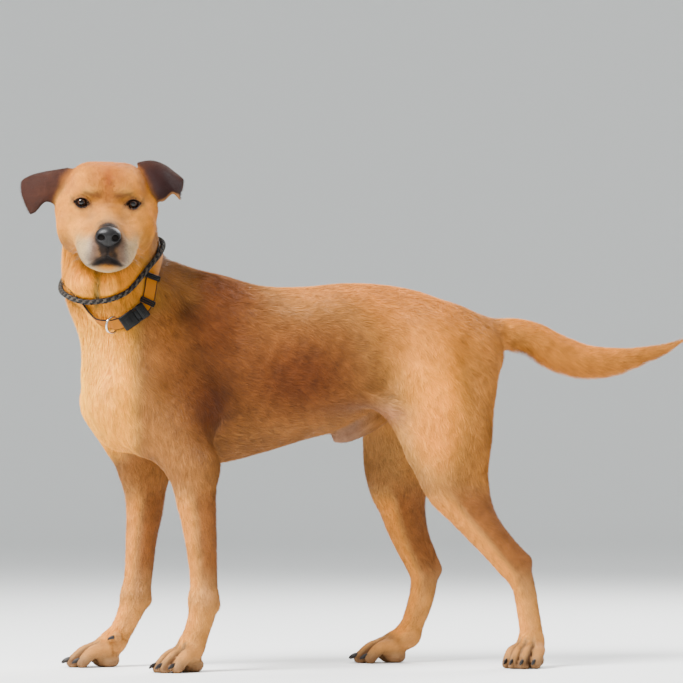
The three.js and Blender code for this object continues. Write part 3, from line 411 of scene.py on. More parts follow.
# Hollows between the muscles: a line of (x, y, z) on the left side, its half width and its depth. The right
# side has them too.
HOLLOWS = [
    ([(-196, -44, 566), (-182, -78, 500), (-190, -96, 430), (-206, -98, 372)], 13, 3.2),  # behind the blade
    ([(-250, -40, 572), (-286, -66, 510), (-322, -72, 450)], 12, 2.8),  # between neck and shoulder
    ([(-226, -70, 520), (-250, -92, 470), (-292, -84, 420)], 9, 1.8),  # the ridge of the shoulder blade
    ([(-300, -92, 400), (-276, -100, 352), (-262, -102, 318)], 8, 2.0),  # between upper arm and elbow
    ([(-214, -96, 350), (-170, -100, 356), (-120, -104, 372)], 12, 2.4),  # behind the elbow
    ([(-6, -96, 480), (20, -92, 440), (40, -88, 410)], 22, 3.2),  # behind the last rib
    ([(92, -60, 520), (84, -84, 470), (78, -94, 420), (74, -96, 372)], 13, 2.6),  # before the thigh
    ([(168, -64, 486), (152, -98, 430), (146, -110, 370), (150, -112, 316)], 9, 2.2),  # along the hamstrings
    ([(150, -50, 520), (176, -44, 512)], 14, 1.8),  # by the hip bone
]


def toe_gaps(p):
    """1 along the clefts between the toes of every paw, falling to 0 on the toes."""
    gap = np.zeros(len(p))
    for leg in LEGS.values():
        q = paw_frame(leg).local(p)
        near = np.flatnonzero((np.abs(q[:, 0] - 15) < 40) & (np.abs(q[:, 1]) < 36) & (q[:, 2] < 46))
        x, y, z = q[near].T
        spread = np.interp(x, (-8, 14, 34), (0.6, 0.92, 1.0))
        for one, other in zip(TOES, TOES[1:]):
            off = y - (one[0] + other[0]) / 2 * spread
            line = np.exp(-((off / 2.3) ** 2)) * smoothstep(-4, 8, x) * smoothstep(3, 9, z)
            gap[near] = np.maximum(gap[near], line)
    return gap


def relief(p):
    """How much deeper the surface lies between the muscles, the ribs and the toes."""
    deep = np.zeros(len(p))
    left = np.stack([p[:, 0], -np.abs(p[:, 1]), p[:, 2]], 1)
    for line, wide, depth in HOLLOWS:
        line, reach = vec(line), 2.2 * wide
        near = np.flatnonzero(((left > line.min(0) - reach) & (left < line.max(0) + reach)).all(1))
        if len(near):
            d, _ = along_line(left[near], line, 3)
            deep[near] = np.maximum(deep[near], depth * np.exp(-((d / wide) ** 2)))
    x, y, z = left.T
    ribcage = smoothstep(-176, -140, x) * smoothstep(24, -10, x) * smoothstep(350, 390, z)
    ribcage *= smoothstep(530, 480, z)
    if ribcage.any():
        slant, apart = 0.42, 24
        ribs = 1 - np.cos((x - slant * (z - 430)) * 2 * math.pi / apart)
        deep += ribcage * 0.55 * ribs * smoothstep(-60, -84, y)
    return np.maximum(deep, 3.2 * toe_gaps(p))


def body_at(p):
    """The distance to the coat's surface, below 0 inside."""
    return fold(BODY, p) + relief(p)


def slope_at(field, p, e=0.5):
    """The field and its gradient, from four samples round each point."""
    samples = [field(p + corner * e) for corner in TETRAHEDRON]
    gradient = sum(s[:, None] * corner for s, corner in zip(samples, TETRAHEDRON)) / (4 * e)
    return sum(samples) / 4, gradient


def in_chunks(work, p, size=400_000):
    """The work done on so many points at a time that memory lasts."""
    return np.concatenate([work(p[i:i + size]) for i in range(0, max(len(p), 1), size)])


# ---- How deep the coat is -----------------------------------------------------------------------------

def parts_at(p, reach=60.0):
    """The distance of each part at points p."""
    return {name: fold(shapes, p, reach) for name, shapes in PARTS.items()}


def tail_at(x):
    """The height and the radius of the tail's middle line."""
    return (np.interp(x, [row[0] for row in TAIL], [row[k] for row in TAIL]) for k in (2, 3))


def coat_depth(p):
    """Millimetres from the coat's tips down to the skin."""
    near = parts_at(p, 26.0)
    x, _, z = p.T
    depth = np.full(len(p), 2.6)
    on_head = smoothstep(14, -6, near["head"])
    depth += on_head * (0.9 + 1.9 * smoothstep(-20, -95, HEAD.local(p)[:, 0]) - depth)
    depth += smoothstep(16, -4, near["neck"]) * (1 - on_head) * 2.2
    for name in LEGS:
        low = smoothstep(260, 120, z) * smoothstep(40, 10, np.minimum(near[name], near[f"paw_{name}"]))
        depth += low * (1.6 - depth)
        depth += smoothstep(12, -2, near[f"paw_{name}"]) * smoothstep(60, 30, z) * (0.9 - depth)
    depth += smoothstep(150, 215, x) * smoothstep(250, 330, z) * smoothstep(500, 470, z) * 1.6
    height, size = tail_at(x)
    under = smoothstep(0.2, -0.8, (z - height) / size)
    on_tail = smoothstep(10, -2, near["tail"]) * smoothstep(235, 275, x)
    depth += on_tail * (np.minimum(0.52 * size, 3.0 + 6.5 * under) - depth)
    depth += smoothstep(8, 0, near["sheath"]) * (1.3 - depth)
    return depth + 3.0 * throat_crease(p)


# ---- Meshing a field ----------------------------------------------------------------------------------

def grid_of(sizes):
    """All whole places (i, j, k) of a grid."""
    return np.stack(np.meshgrid(*[np.arange(size) for size in sizes], indexing="ij"), -1).reshape(-1, 3)


def sampled(field, low, n, cell, block):
    """The field on a grid, worked out only in the blocks near the surface. The grid's ends are outside."""
    centres, span = grid_of((n - 1) // block), grid_of([block] * 3)
    there = in_chunks(field, low + (centres + 0.5) * block * cell)
    values = np.full(n, cell, np.float32)
    inside = (centres[there < 0][:, None] * block + span).reshape(-1, 3)
    values[tuple(inside.T)] = -cell
    # A block's corner is 0.87 of its width from its middle, and the field may run ahead of the distance.
    near = centres[np.abs(there) < block * cell * 1.35]
    near = (near[:, None] * block + span).reshape(-1, 3)
    values[tuple(near.T)] = in_chunks(field, low + near * cell)
    for axis in range(3):
        layers = np.moveaxis(values, axis, 0)
        layers[0] = layers[-1] = cell
    return values


def surface_nets(field, low, high, cell):
    """Vertices and quads of the surface: a vertex in each crossed cell, a quad for each crossed edge."""
    block = 8
    low = np.floor(vec(low) / cell) * cell
    n = np.ceil((vec(high) - low) / (cell * block)).astype(int) * block + 1
    values = sampled(field, low, n, cell, block)
    fill_checkered(values)
    minus = values < 0
    offsets = [(i & 1, i >> 1 & 1, i >> 2) for i in range(8)]
    corners = [minus[tuple(slice(k, size - 1 + k) for k, size in zip(c, n))] for c in offsets]
    count = sum(corner.astype(np.int8) for corner in corners)
    cells = np.argwhere((count > 0) & (count < 8))
    index = np.full(count.shape, -1, np.int64)
    index[tuple(cells.T)] = np.arange(len(cells))
    at = [values[tuple((cells + c).T)] for c in offsets]
    total, hits = np.zeros((len(cells), 3)), np.zeros(len(cells))
    for i, bit in product(range(8), (1, 2, 4)):
        if not i & bit:
            a, b = at[i], at[i | bit]
            crossed = (a < 0) != (b < 0)
            t = np.where(crossed, a / np.where(crossed, a - b, 1), 0)
            place = vec(offsets[i]) + t[:, None] * (vec(offsets[i | bit]) - vec(offsets[i]))
            total += np.where(crossed[:, None], place, 0)
            hits += crossed
    quads = []
    for u, v, w in ((0, 1, 2), (1, 2, 0), (2, 0, 1)):
        a, b = (
            minus[tuple(ends if axis == u else slice(1, -1) for axis in range(3))]
            for ends in (slice(-1), slice(1, None))
        )
        hit = np.argwhere(a != b)
        start = hit + [0 if x == u else 1 for x in range(3)]
        down = a[tuple(hit.T)]

        def cell_at(dv, dw):
            c = start.copy()
            c[:, v] -= dv
            c[:, w] -= dw
            return index[tuple(c.T)]

        ring = np.stack([cell_at(1, 1), cell_at(0, 1), cell_at(0, 0), cell_at(1, 0)], 1)
        ring[~down] = ring[~down][:, ::-1]
        quads.append(ring)
    return low + (cells + total / hits[:, None]) * cell, np.concatenate(quads)


def fill_checkered(values):
    """Takes in one outer corner of each grid square whose corners are in and out by turns."""
    for _ in range(6):
        changed = False
        for u, v in ((0, 1), (1, 2), (2, 0)):
            def part(du, dv):
                pick = [slice(None)] * 3
                pick[u] = slice(1, None) if du else slice(None, -1)
                pick[v] = slice(1, None) if dv else slice(None, -1)
                return values[tuple(pick)] < 0

            a, b, c, d = part(0, 0), part(1, 0), part(1, 1), part(0, 1)
            bad = np.argwhere((a == c) & (b == d) & (a != b))
            for cell in bad:
                ring = [cell.copy() for _ in range(4)]
                ring[1][u] += 1
                ring[2][[u, v]] += 1
                ring[3][v] += 1
                outside = [tuple(r) for r in ring if values[tuple(r)] >= 0]
                if outside:
                    values[min(outside, key=lambda r: values[r])] = -0.01
                    changed = True
        if not changed:
            return


def to_surface(field, p, steps, reach, sunk=0.0):
    """Newton steps onto the field's zero, or onto the level that lies `sunk` millimetres inside it."""
    for _ in range(steps):
        d, g = slope_at(field, p)
        g = g / ((g * g).sum(1) + 1e-9)[:, None]
        p = p - np.clip(d + sunk, -reach, reach)[:, None] * g
        p = p - np.clip(field(p) + sunk, -reach, reach)[:, None] * g
    return p


def make_mesh(name, points, faces, smooth=True):
    """A mesh object from points in the part's frame and faces of one size."""
    faces = np.asarray(faces)
    mesh = bpy.data.meshes.new(name)
    mesh.vertices.add(len(points))
    mesh.vertices.foreach_set("co", np.asarray(points, np.float32).ravel())
    size = faces.shape[1]
    mesh.loops.add(faces.size)
    mesh.loops.foreach_set("vertex_index", faces.astype(np.int32).ravel())
    mesh.polygons.add(len(faces))
    mesh.polygons.foreach_set("loop_start", np.arange(0, faces.size, size, dtype=np.int32))
    mesh.polygons.foreach_set("use_smooth", np.full(len(faces), smooth))
    mesh.update(calc_edges=True)
    mesh.validate()
    piece = bpy.data.objects.new(name, mesh)
    bpy.context.scene.collection.objects.link(piece)
    return piece


def points_of(piece):
    co = np.empty(len(piece.data.vertices) * 3, np.float32)
    piece.data.vertices.foreach_get("co", co)
    return co.reshape(-1, 3).astype(float)


def faces_of(piece):
    return np.array([face.vertices for face in piece.data.polygons])


def take_arrays(bm):
    """The points and triangles of a bmesh, which is freed."""
    bmesh.ops.triangulate(bm, faces=bm.faces)
    bm.verts.index_update()
    points = np.array([v.co for v in bm.verts])
    faces = np.array([[v.index for v in f.verts] for f in bm.faces])
    bm.free()
    return points, faces


def outward(piece):
    """Turns all faces of a closed mesh outwards."""
    bm = bmesh.new()
    bm.from_mesh(piece.data)
    bmesh.ops.recalc_face_normals(bm, faces=bm.faces)
    bm.to_mesh(piece.data)
    bm.free()
    return piece


def ring_quads(rows, sides, closed=True):
    """Quads round rows of points, each row a ring. Closed also joins the last row to the first."""
    ids = np.arange(rows * sides).reshape(rows, sides)
    after = np.roll(ids, -1, 1)
    quads = np.stack([ids, after, np.roll(after, -1, 0), np.roll(ids, -1, 0)], -1)
    return (quads if closed else quads[:-1]).reshape(-1, 4)


def tube_faces(rows, sides):
    """Triangles of a tube of rings whose ends close on two more points, the first and the last tip."""
    body = ring_quads(rows, sides, closed=False)[:, [0, 1, 2, 0, 2, 3]].reshape(-1, 3)
    here = np.arange(sides)
    after = np.roll(here, -1)
    first, last, end = np.full(sides, rows * sides), np.full(sides, rows * sides + 1), (rows - 1) * sides
    tips = np.stack([first, after, here, last, end + here, end + after], 1)
    return np.concatenate([body, tips.reshape(-1, 3)])


def circle(radius, sides):
    return [(radius * math.cos(a), radius * math.sin(a)) for a in np.linspace(0, 2 * math.pi, sides + 1)[:-1]]


def joined(parts):
    """Several (points, faces) as one."""
    firsts = np.cumsum([0, *[len(points) for points, _ in parts[:-1]]])
    faces = [np.asarray(faces) + first for (_, faces), first in zip(parts, firsts)]
    return np.concatenate([points for points, _ in parts]), np.concatenate(faces)


def tree_of(points):
    """A tree that finds the nearest of some points."""
    tree = KDTree(len(points))
    for i, point in enumerate(points):
        tree.insert(point, i)
    tree.balance()
    return tree


def surface_tree(piece):
    """A tree that finds the nearest place on a piece's faces."""
    return BVHTree.FromPolygons([Vector(p) for p in points_of(piece)], faces_of(piece).tolist())


def column(*parts):
    """Rows of three from numbers and arrays."""
    return np.stack(np.broadcast_arrays(*parts), 1).astype(float)


def to_body(p):
    return (np.asarray(p, float) - SHIFT) / MM


# ---- The face's fine forms ----------------------------------------------------------------------------

# Lines on the face in the head's frame: the groove under the nose, and the mouth on each side.
PHILTRUM = [(108, 0, -50), (107, 0, -58), (103, 0, -65)]
MOUTH = {
    s: [(103, 0, -65), (98, 11 * s, -72), (92, 22 * s, -80), (78, 33 * s, -86),
        (58, 38 * s, -86), (34, 38 * s, -80), (14, 37 * s, -70), (4, 37 * s, -62)]
    for s in (LEFT, RIGHT)
}


def almond(q, s, grow=0.0):
    """Over 0 outside the opening of the lids, in millimetres, for points q in the head's frame."""
    y, z = (q[:, 1] - EYE["spread"] * s) * s, q[:, 2]
    tilt = math.radians(7)
    across, up = y * math.cos(tilt) + z * math.sin(tilt), z * math.cos(tilt) - y * math.sin(tilt)
    half, high = EYE["wide"] / 2 + grow, EYE["high"] / 2 + grow
    lid = high * np.clip(1 - (across / half) ** 2, 0, None) ** 0.8
    upper = up - lid * np.where(up > 0, 1.0, 0.92)
    lower = -up - lid * 0.92
    return np.maximum(np.maximum(upper, lower), np.abs(across) - half)


# Folds of one half of the face: a line and how deep it is.
FOLDS = [
    ([(14, 12, 8), (8, 9, 22), (-4, 8, 36)], 0.8),  # from the inner brow upwards
    ([(6, 24, -10), (4, 36, -14), (-8, 50, -8)], 0.8),  # under the eye
    ([(30, 22, -22), (52, 34, -48), (56, 40, -70)], 0.9),  # behind the muzzle
]


def form_lids(a, start, shade, s):
    """Lays the lids over the eyeball, with a rim that stands a little proud of it."""
    eye = vec((EYE["depth"], EYE["spread"] * s, 0))
    out = almond(a, s)
    front = a[:, 0] > eye[0] - 2
    lids, inner = front & (out < 16), front & (out < 0)
    ball = np.maximum(0, (EYE["radius"] + 0.9) ** 2 - (a[:, 1] - eye[1]) ** 2 - a[:, 2] ** 2)
    over = eye[0] + np.sqrt(ball)
    rim = smoothstep(4.5, 0.0, out)
    a[lids, 0] += (rim * np.maximum(over + 0.7 - a[:, 0], -1.2 * rim))[lids] * 0.85
    a[inner, 0] = np.minimum(a[inner, 0], eye[0] + 2.0)
    crease = np.exp(-((almond(start, s, 4.2) / 1.1) ** 2)) * (start[:, 2] > -2)
    a[lids, 0] -= 0.9 * crease[lids]
    inner_corner = eye + (6.0, -12.5 * s, -2.0)
    corner = smoothstep(5.5, 2.0, np.linalg.norm(a - inner_corner, axis=1))
    shade[:] = np.max([shade, np.where(lids, smoothstep(2.6, 0.9, out), 0), corner], 0)


def form_mouth(a, start, shade, s):
    """Draws the mouth line in under a lip, and presses in the folds of this half of the face."""
    d, t = along_line(start, MOUTH[s])
    inward = unit(column(-0.4, -s * (0.2 + 0.8 * t), 0.1))
    groove = np.exp(-((d / 1.9) ** 2)) * smoothstep(1.0, 0.86, t)
    a += inward * (3.4 * groove)[:, None]
    lip = np.exp(-(((d - 5) / 3.0) ** 2)) * (start[:, 2] > np.interp(t, [0, 0.5, 1], [-65, -86, -62]))
    a -= inward * (1.8 * lip)[:, None]
    shade[:] = np.maximum(shade, np.exp(-((d / 3.4) ** 2)) * smoothstep(1.0, 0.8, t))
    for line, deep in FOLDS:
        d, _ = along_line(start, vec(line) * (1, s, 1))
        a[:, 0] -= deep * np.exp(-((d / 3.0) ** 2))


def face_forms(p):
    """Moves skin points for the lids, lips and folds, and gives where the skin is bare and dark."""
    moved = HEAD.local(p)
    x, y, z = moved.T
    near = np.flatnonzero((x > -40) & (np.abs(y) < 80) & (np.abs(z + 40) < 75))
    start = moved[near]
    a, shade, dark = start.copy(), np.zeros(len(near)), np.zeros(len(p))
    for s in (LEFT, RIGHT):
        form_lids(a, start, shade, s)
    d, _ = along_line(start, PHILTRUM)
    a[:, 0] -= 1.6 * np.exp(-((d / 1.5) ** 2))
    shade = np.maximum(shade, 0.85 * np.exp(-((d / 1.7) ** 2)))
    for s in (LEFT, RIGHT):
        form_mouth(a, start, shade, s)
    moved[near], dark[near] = a, shade
    return HEAD.out(moved), dark


# ---- Ears ---------------------------------------------------------------------------------------------

# Rows from the skull outwards; along a row, from the lower edge of the back panel over the fold to the free
# edge of the flap, as (towards the nose, sideways, up) in a level frame at the head.
EARS = {
    "right": [
        [(-68, -54, 4), (-70, -50, 30), (-56, -44, 55), (-42, -52, 36), (-36, -62, 12), (-38, -72, -6)],
        [(-86, -78, 16), (-86, -75, 34), (-68, -70, 52), (-46, -74, 36), (-38, -80, 18), (-38, -82, 4)],
        [(-90, -92, 22), (-90, -92, 34), (-72, -91, 49), (-50, -92, 34), (-40, -92, 16), (-40, -91, 3)],
        [(-88, -106, 26), (-86, -108, 34), (-72, -109, 44), (-56, -110, 28), (-46, -107, 8), (-44, -102, -9)],
        [(-80, -118, 26), (-78, -121, 32), (-70, -123, 36), (-62, -123, 22), (-52, -118, 4),
         (-47, -110, -13)],
    ],
    "left": [
        [(-68, 56, 4), (-70, 52, 34), (-58, 43, 61), (-44, 49, 40), (-38, 58, 12), (-40, 66, -6)],
        [(-84, 74, 12), (-84, 71, 40), (-66, 64, 66), (-46, 67, 46), (-38, 70, 22), (-40, 73, 2)],
        [(-88, 88, 16), (-88, 88, 40), (-72, 84, 61), (-52, 80, 48), (-42, 82, 28), (-42, 84, 8)],
        [(-86, 100, 24), (-86, 102, 38), (-76, 100, 50), (-60, 92, 44), (-50, 91, 32), (-48, 96, 18)],
        [(-80, 110, 24), (-79, 112, 33), (-75, 112, 41), (-68, 110, 33), (-60, 108, 22), (-52, 106, 10)],
    ],
}
EAR_THICK = 3.4  # without the coat


def ear_sheet(rows, finer):
    """The ear's middle surface as a grid of points, with unit normals."""
    across = np.array([smooth_rows(row, finer) for row in rows])
    m, n, _ = across.shape
    sheet = smooth_rows(across.reshape(m, -1), finer).reshape(-1, n, 3)
    along, over = np.gradient(sheet, axis=0), np.gradient(sheet, axis=1)
    return sheet, unit(np.cross(along, over))


def make_ear(name, finer):
    """One ear as a closed form: both faces of its sheet, joined round the edge."""
    sheet, normal = ear_sheet(EARS[name], finer)
    m, n, _ = sheet.shape
    v, u = np.meshgrid(np.linspace(0, 1, n), np.linspace(0, 1, m))
    rim = np.minimum(np.minimum(v, 1 - v) * 9, (1 - u) * 9).clip(0, 1)
    half = EAR_THICK / 2 * (0.25 + 0.75 * np.sqrt(rim)) + 1.2 * (1 - u) ** 3
    both = [LEVEL_HEAD.out((sheet + side * normal * half[..., None]).reshape(-1, 3)) for side in (1, -1)]
    ids = np.arange(m * n).reshape(m, n)
    quads = np.stack([ids[:-1, :-1], ids[1:, :-1], ids[1:, 1:], ids[:-1, 1:]], -1).reshape(-1, 4)
    ring = np.concatenate([ids[0, :-1], ids[:-1, -1], ids[-1, :0:-1], ids[:0:-1, 0]])
    after = np.roll(ring, -1)
    edge = np.stack([ring, after, after + m * n, ring + m * n], 1)
    faces = np.concatenate([quads, quads[:, ::-1] + m * n, edge])
    return outward(make_mesh(f"ear_{name}_form", to_row(np.concatenate(both)), faces))


# ---- The skin -----------------------------------------------------------------------------------------

SKIN_CELL, SKIN_LOW, SKIN_HIGH = 5.0, (-540, -330, -10), (570, 180, 790)


def head_and_paws(p):
    """True where the skin's mesh is made finer once."""
    head = (fold(PARTS["head"], p) < 8) & (HEAD.local(p)[:, 0] > -88)
    return head | (p[:, 2] < 44) & (p[:, 2] > 6)


def eyes_and_lips(p):
    """True where the skin's mesh is made finer once more."""
    q = HEAD.local(p)
    lips = (q[:, 0] > 62) & (np.abs(q[:, 1]) < 40) & (q[:, 2] < -40) & (q[:, 2] > -96)
    eyes = [np.linalg.norm(q - (2, EYE["spread"] * s, 0), axis=1) < 19 for s in (LEFT, RIGHT)]
    return (eyes[0] | eyes[1] | lips) & (q[:, 0] > -22)


def build_skin():
    """One closed skin over the whole dog but its ears, finer at the head, the eyes and the paws."""
    points, quads = surface_nets(lambda p: body_at(p) + 1.0, SKIN_LOW, SKIN_HIGH, SKIN_CELL)
    bm = bmesh.new()
    verts = [bm.verts.new(p) for p in points]
    for quad in quads:
        ring = list(dict.fromkeys(quad))
        if len(ring) > 2:
            bm.faces.new([verts[i] for i in ring])
    bm.normal_update()
    for wanted in (head_and_paws, eyes_and_lips):
        bm.verts.index_update()
        inside = wanted(np.array([v.co for v in bm.verts]))
        edges = [e for e in bm.edges if inside[e.verts[0].index] and inside[e.verts[1].index]]
        bmesh.ops.subdivide_edges(bm, edges=edges, cuts=1, use_grid_fill=True)
    points, faces = take_arrays(bm)
    points = to_surface(body_at, points, 1, 4.0, coat_depth(points))
    points = relax(points, faces, 1, 0.4)
    points = to_surface(body_at, points, 1, 2.0, coat_depth(points))
    points, _ = face_forms(points)
    points[:, 2] = np.maximum(points[:, 2], GROUND + 0.25)
    return make_mesh("skin", to_row(points), faces)


def relax(points, faces, rounds, amount):
    """Moves each vertex by an amount, up to 1, of the way to the mean of its neighbours."""
    a, b = np.unique(np.sort(faces[:, [0, 1, 1, 2, 2, 0]].reshape(-1, 2), 1), axis=0).T
    n = len(points)
    count = np.maximum(np.bincount(a, minlength=n) + np.bincount(b, minlength=n), 1)[:, None]
    for _ in range(rounds):
        total = np.stack([np.bincount(a, q[b], n) + np.bincount(b, q[a], n) for q in points.T], 1)
        points = points + amount * (total / count - points)
    return points


def join_ears(skin):
    """Adds the ears to the skin as one closed surface, and rounds the seam off."""
    skin_tree, ear_trees = surface_tree(skin), []
    for name in EARS:
        ear = make_ear(name, 6)
        ear_trees.append(surface_tree(ear))
        union = skin.modifiers.new("union", "BOOLEAN")
        union.operation, union.object, union.solver = "UNION", ear, "MANIFOLD"
        bpy.context.view_layer.objects.active = skin
        bpy.ops.object.modifier_apply(modifier="union")
        bpy.data.objects.remove(ear)
    bm = bmesh.new()
    bm.from_mesh(skin.data)
    bmesh.ops.remove_doubles(bm, verts=bm.verts, dist=0.00005)
    bmesh.ops.triangulate(bm, faces=bm.faces)
    bm.to_mesh(skin.data)
    bm.free()
    points = points_of(skin)
    weight = np.zeros((len(points), 1))
    for i in np.flatnonzero(np.linalg.norm(to_body(points) - HEAD.out((-55, 0, 20)), axis=1) < 110):
        at = Vector(points[i])
        from_ears = min(tree.find_nearest(at)[3] for tree in ear_trees)
        weight[i] = smoothstep(0.009, 0.002, max(skin_tree.find_nearest(at)[3] or 0, from_ears))
    points = relax(points, faces_of(skin), 12, 0.5 * weight)
    skin.data.vertices.foreach_set("co", points.astype(np.float32).ravel())
    skin.data.update()
    return skin


# ---- Markings, painted shade and painted light --------------------------------------------------------

def tone(r, g, b):
    """A colour as seen, turned into the linear values that shaders take."""
    c = vec((r, g, b)) / 255
    return np.where(c <= 0.04045, c / 12.92, ((c + 0.055) / 1.055) ** 2.4)


def vivid(c, depth=1.34, light=0.8):
    """Deepens a colour, as the view that pictures are made with pales it."""
    mean = c.mean(-1, keepdims=True)
    pale = smoothstep(0.25, 0.65, mean)
    power = vec((1.0, 1.8, 1.5)) + pale * vec((1.7, 1.2, 2.8))
    strong = (c / mean) ** power
    return light * mean ** depth * strong / strong.mean(-1, keepdims=True)


def throat_crease(p):
    """1 along the crease between the two lobes of loose skin under the jaw."""
    left, right = (shape.distance(p, 20) for shape, _ in PARTS["throat"])
    return np.exp(-(((left - right) / 5.5) ** 2)) * smoothstep(14, 6, np.maximum(left, right))


def blob(p, at, size):
    """A soft patch: 1 in its middle, falling to 0 past its size."""
    return np.exp(-(((p - vec(at)) / vec(size)) ** 2).sum(1))


def from_nose(q):
    """How far points in the head's frame are from the middle of the nose leather."""
    return np.linalg.norm((q - (104, 0, -38)) / (1.0, 1.35, 1.0), axis=1)


# Soft patches of colour: place, size, strength and colour as seen. One that isn't in the middle is on both
# sides. The first three lists are in the body's frame and the others in the head's. Some of the patches are
# painted shade or painted light, as their comments say.
SIDE_PATCHES = [
    ((-90, -96, 430), (110, 60, 80), 1.1, (146, 88, 44)),  # ribs: a darker saddle, deepened with painted shade
    ((4, -88, 386), (50, 40, 20), 0.9, (118, 72, 40)),  # painted shade low on the flank, under its fold
    ((-225, -86, 500), (70, 60, 70), 1.1, (150, 92, 48)),  # shoulder: a darker saddle, deepened with painted shade
    ((-200, -60, 560), (60, 60, 44), 1.0, (156, 96, 52)),  # withers: a darker saddle, deepened with painted shade
    ((-284, -92, 480), (24, 50, 58), 0.9, (204, 138, 82)),  # painted light before the shoulder
    ((-257, -84, 546), (15, 50, 34), 0.8, (92, 50, 23)),  # painted shadow in the crease between neck and shoulder
    ((-262, -96, 450), (34, 50, 50), 0.8, (178, 116, 66)),  # upper arm
    ((-220, -100, 392), (48, 50, 66), 1.1, (124, 72, 32)),  # behind the upper arm: darker coat, deepened with painted shade
]
THIGH_PATCHES = [
    ((124, -110, 412), (60, 70, 84), 1.1, (236, 194, 138)),
    ((112, -110, 340), (40, 60, 50), 0.9, (230, 184, 132)),
]
RUMP_PATCHES = [
    ((215, 0, 520), (40, 60, 44), 0.8, (196, 136, 82)),  # root of the tail
    ((30, -76, 380), (46, 30, 15), 1.1, (196, 144, 112)),  # groin
]
BROW_PATCHES = [
    ((-20, 36, 34), (26, 14, 22), 0.8, (220, 162, 90)),  # sides of the forehead
    ((2, 0, 32), (34, 7, 20), 0.9, (176, 98, 18)),  # streak down the forehead
    ((4, 0, 8), (20, 9, 16), 0.8, (190, 122, 62)),  # between the eyes
    ((0, 25, 19), (22, 11, 7), 0.9, (214, 162, 102)),  # over the brow
]
CHEEK_PATCHES = [
    ((6, 15, 11), (14, 9, 6), 0.7, (150, 96, 54)),  # inner end of the brow
    ((-4, 24, -5), (12, 6, 6), 0.6, (206, 158, 132)),  # inner corner of the eye
    ((0, 45, -25), (22, 12, 8), 0.9, (174, 108, 52)),  # under the eye
    ((-30, 60, -34), (54, 20, 34), 1.0, (226, 170, 98)),  # cheek
    ((20, 44, -36), (30, 14, 18), 0.8, (226, 178, 112)),  # before the cheek
    ((28, 22, -20), (24, 9, 14), 0.7, (184, 128, 76)),  # painted shade at the side of the bridge
    ((44, 0, -18), (34, 12, 14), 1.0, (204, 148, 90)),  # bridge of the nose
]
MUZZLE_PATCHES = [
    ((40, 36, -46), (26, 16, 14), 0.8, (214, 176, 132)),  # behind the muzzle
    ((84, 0, -22), (22, 17, 9), 1.0, (150, 114, 88)),  # behind the nose leather
    ((96, 17, -50), (18, 8, 20), 1.1, (128, 100, 88)),  # beside the nose leather
    ((92, 20, -68), (18, 9, 12), 0.9, (112, 88, 78)),  # front of the lips
]
JAW_SHADE_PATCHES = [
    ((-30, 0, -94), (60, 50, 18), 1.0, (168, 114, 62)),  # painted shade under the jaw
    ((-6, 60, -64), (40, 16, 20), 0.8, (186, 126, 68)),  # painted shade at the angle of the jaw
]


def paint_patches(paint, p, patches, on=1.0):
    """Paints a list of patches, on as much of the points as `on` says."""
    for at, size, strength, rgb in patches:
        weight = blob(p, at, size)
        if at[1]:
            weight = weight + blob(p, (at[0], -at[1], at[2]), size)
        paint(on * (strength * weight), rgb)


def paint_trunk(paint, p):
    """A light back, partly painted light from above, ruddy ribs and shoulders deepened with painted shade, a
    pale chest, painted shade under the belly and pale thighs.
    """
    x, y, z = p.T
    # The back and the loin are lighter: partly the coat's own tone, partly painted light from above.
    paint(smoothstep(500, 566, z) * smoothstep(-170, -90, x) * 0.95, (216, 158, 102))
    paint(smoothstep(-30, 40, x) * smoothstep(400, 480, z) * 0.8, (216, 156, 98))
    paint_patches(paint, p, SIDE_PATCHES)
    # Painted shade under the belly: darker towards the underside of the trunk.
    belly_shade = smoothstep(372, 330, z) * smoothstep(-240, -180, x) * smoothstep(130, 80, x)
    paint(belly_shade * 0.5, (148, 98, 54))
    paint(smoothstep(-296, -336, x + 0.25 * np.abs(y)) * smoothstep(300, 340, z), (236, 200, 142))
    paint(blob(p, (-390, -10, 440), (40, 60, 120)) * 0.8, (244, 214, 160))
    paint_patches(paint, p, THIGH_PATCHES)
    behind = smoothstep(130, 195, x) * smoothstep(520, 440, z) * smoothstep(210, 280, z)
    paint(behind * 0.85, (202, 142, 84))
    paint_patches(paint, p, RUMP_PATCHES)


def paint_tail(paint, p, near):
    """Darker at its root, lighter along its top, with a pale tip."""
    x, _, z = p.T
    tail = smoothstep(14, 2, near["tail"]) * smoothstep(236, 262, x)
    height, _ = tail_at(x)
    paint(tail, (214, 158, 100))
    paint(tail * smoothstep(320, 240, x) * 0.6, (202, 144, 88))
    paint(tail * smoothstep(4, 22, z - height) * 0.6, (230, 180, 122))
    paint(tail * smoothstep(470, 540, x) * 0.6, (204, 150, 98))


def paint_legs(paint, p, near):
    """Paler in front than behind, with a pale pastern, slightly darker toes and painted shade in the clefts.
    """
    x, _, z = p.T
    for name, leg in LEGS.items():
        on = smoothstep(16, 4, near[name]) * smoothstep(290, 240, z)
        paint(on, (178, 118, 68))
        shin = vec(leg["shin"])
        back = x - np.interp(z, shin[::-1, 2], shin[::-1, 0])
        paint(on * smoothstep(0, -18, back) * 0.85, (226, 180, 130))
        paint(on * smoothstep(4, 22, back) * 0.6, (168, 112, 70))
        paint(on * smoothstep(170, 90, z) * smoothstep(24, 44, z) * 0.6, (226, 186, 142))
        if leg["dewclaw"]:
            wrist = shin[-4][:3] + (0, 0, 4)
            paint(on * blob(p, wrist, (60, 60, 14)) * 0.5, (186, 132, 88))
        on_paw = smoothstep(14, 4, near[f"paw_{name}"]) * smoothstep(56, 34, z)
        paint(on_paw, (206, 160, 118))
        paint(on_paw * smoothstep(30, 8, z) * 0.8, (158, 118, 88))
    # Painted shade in the clefts between the toes.
    paint(toe_gaps(p) * 0.8, (112, 74, 50))


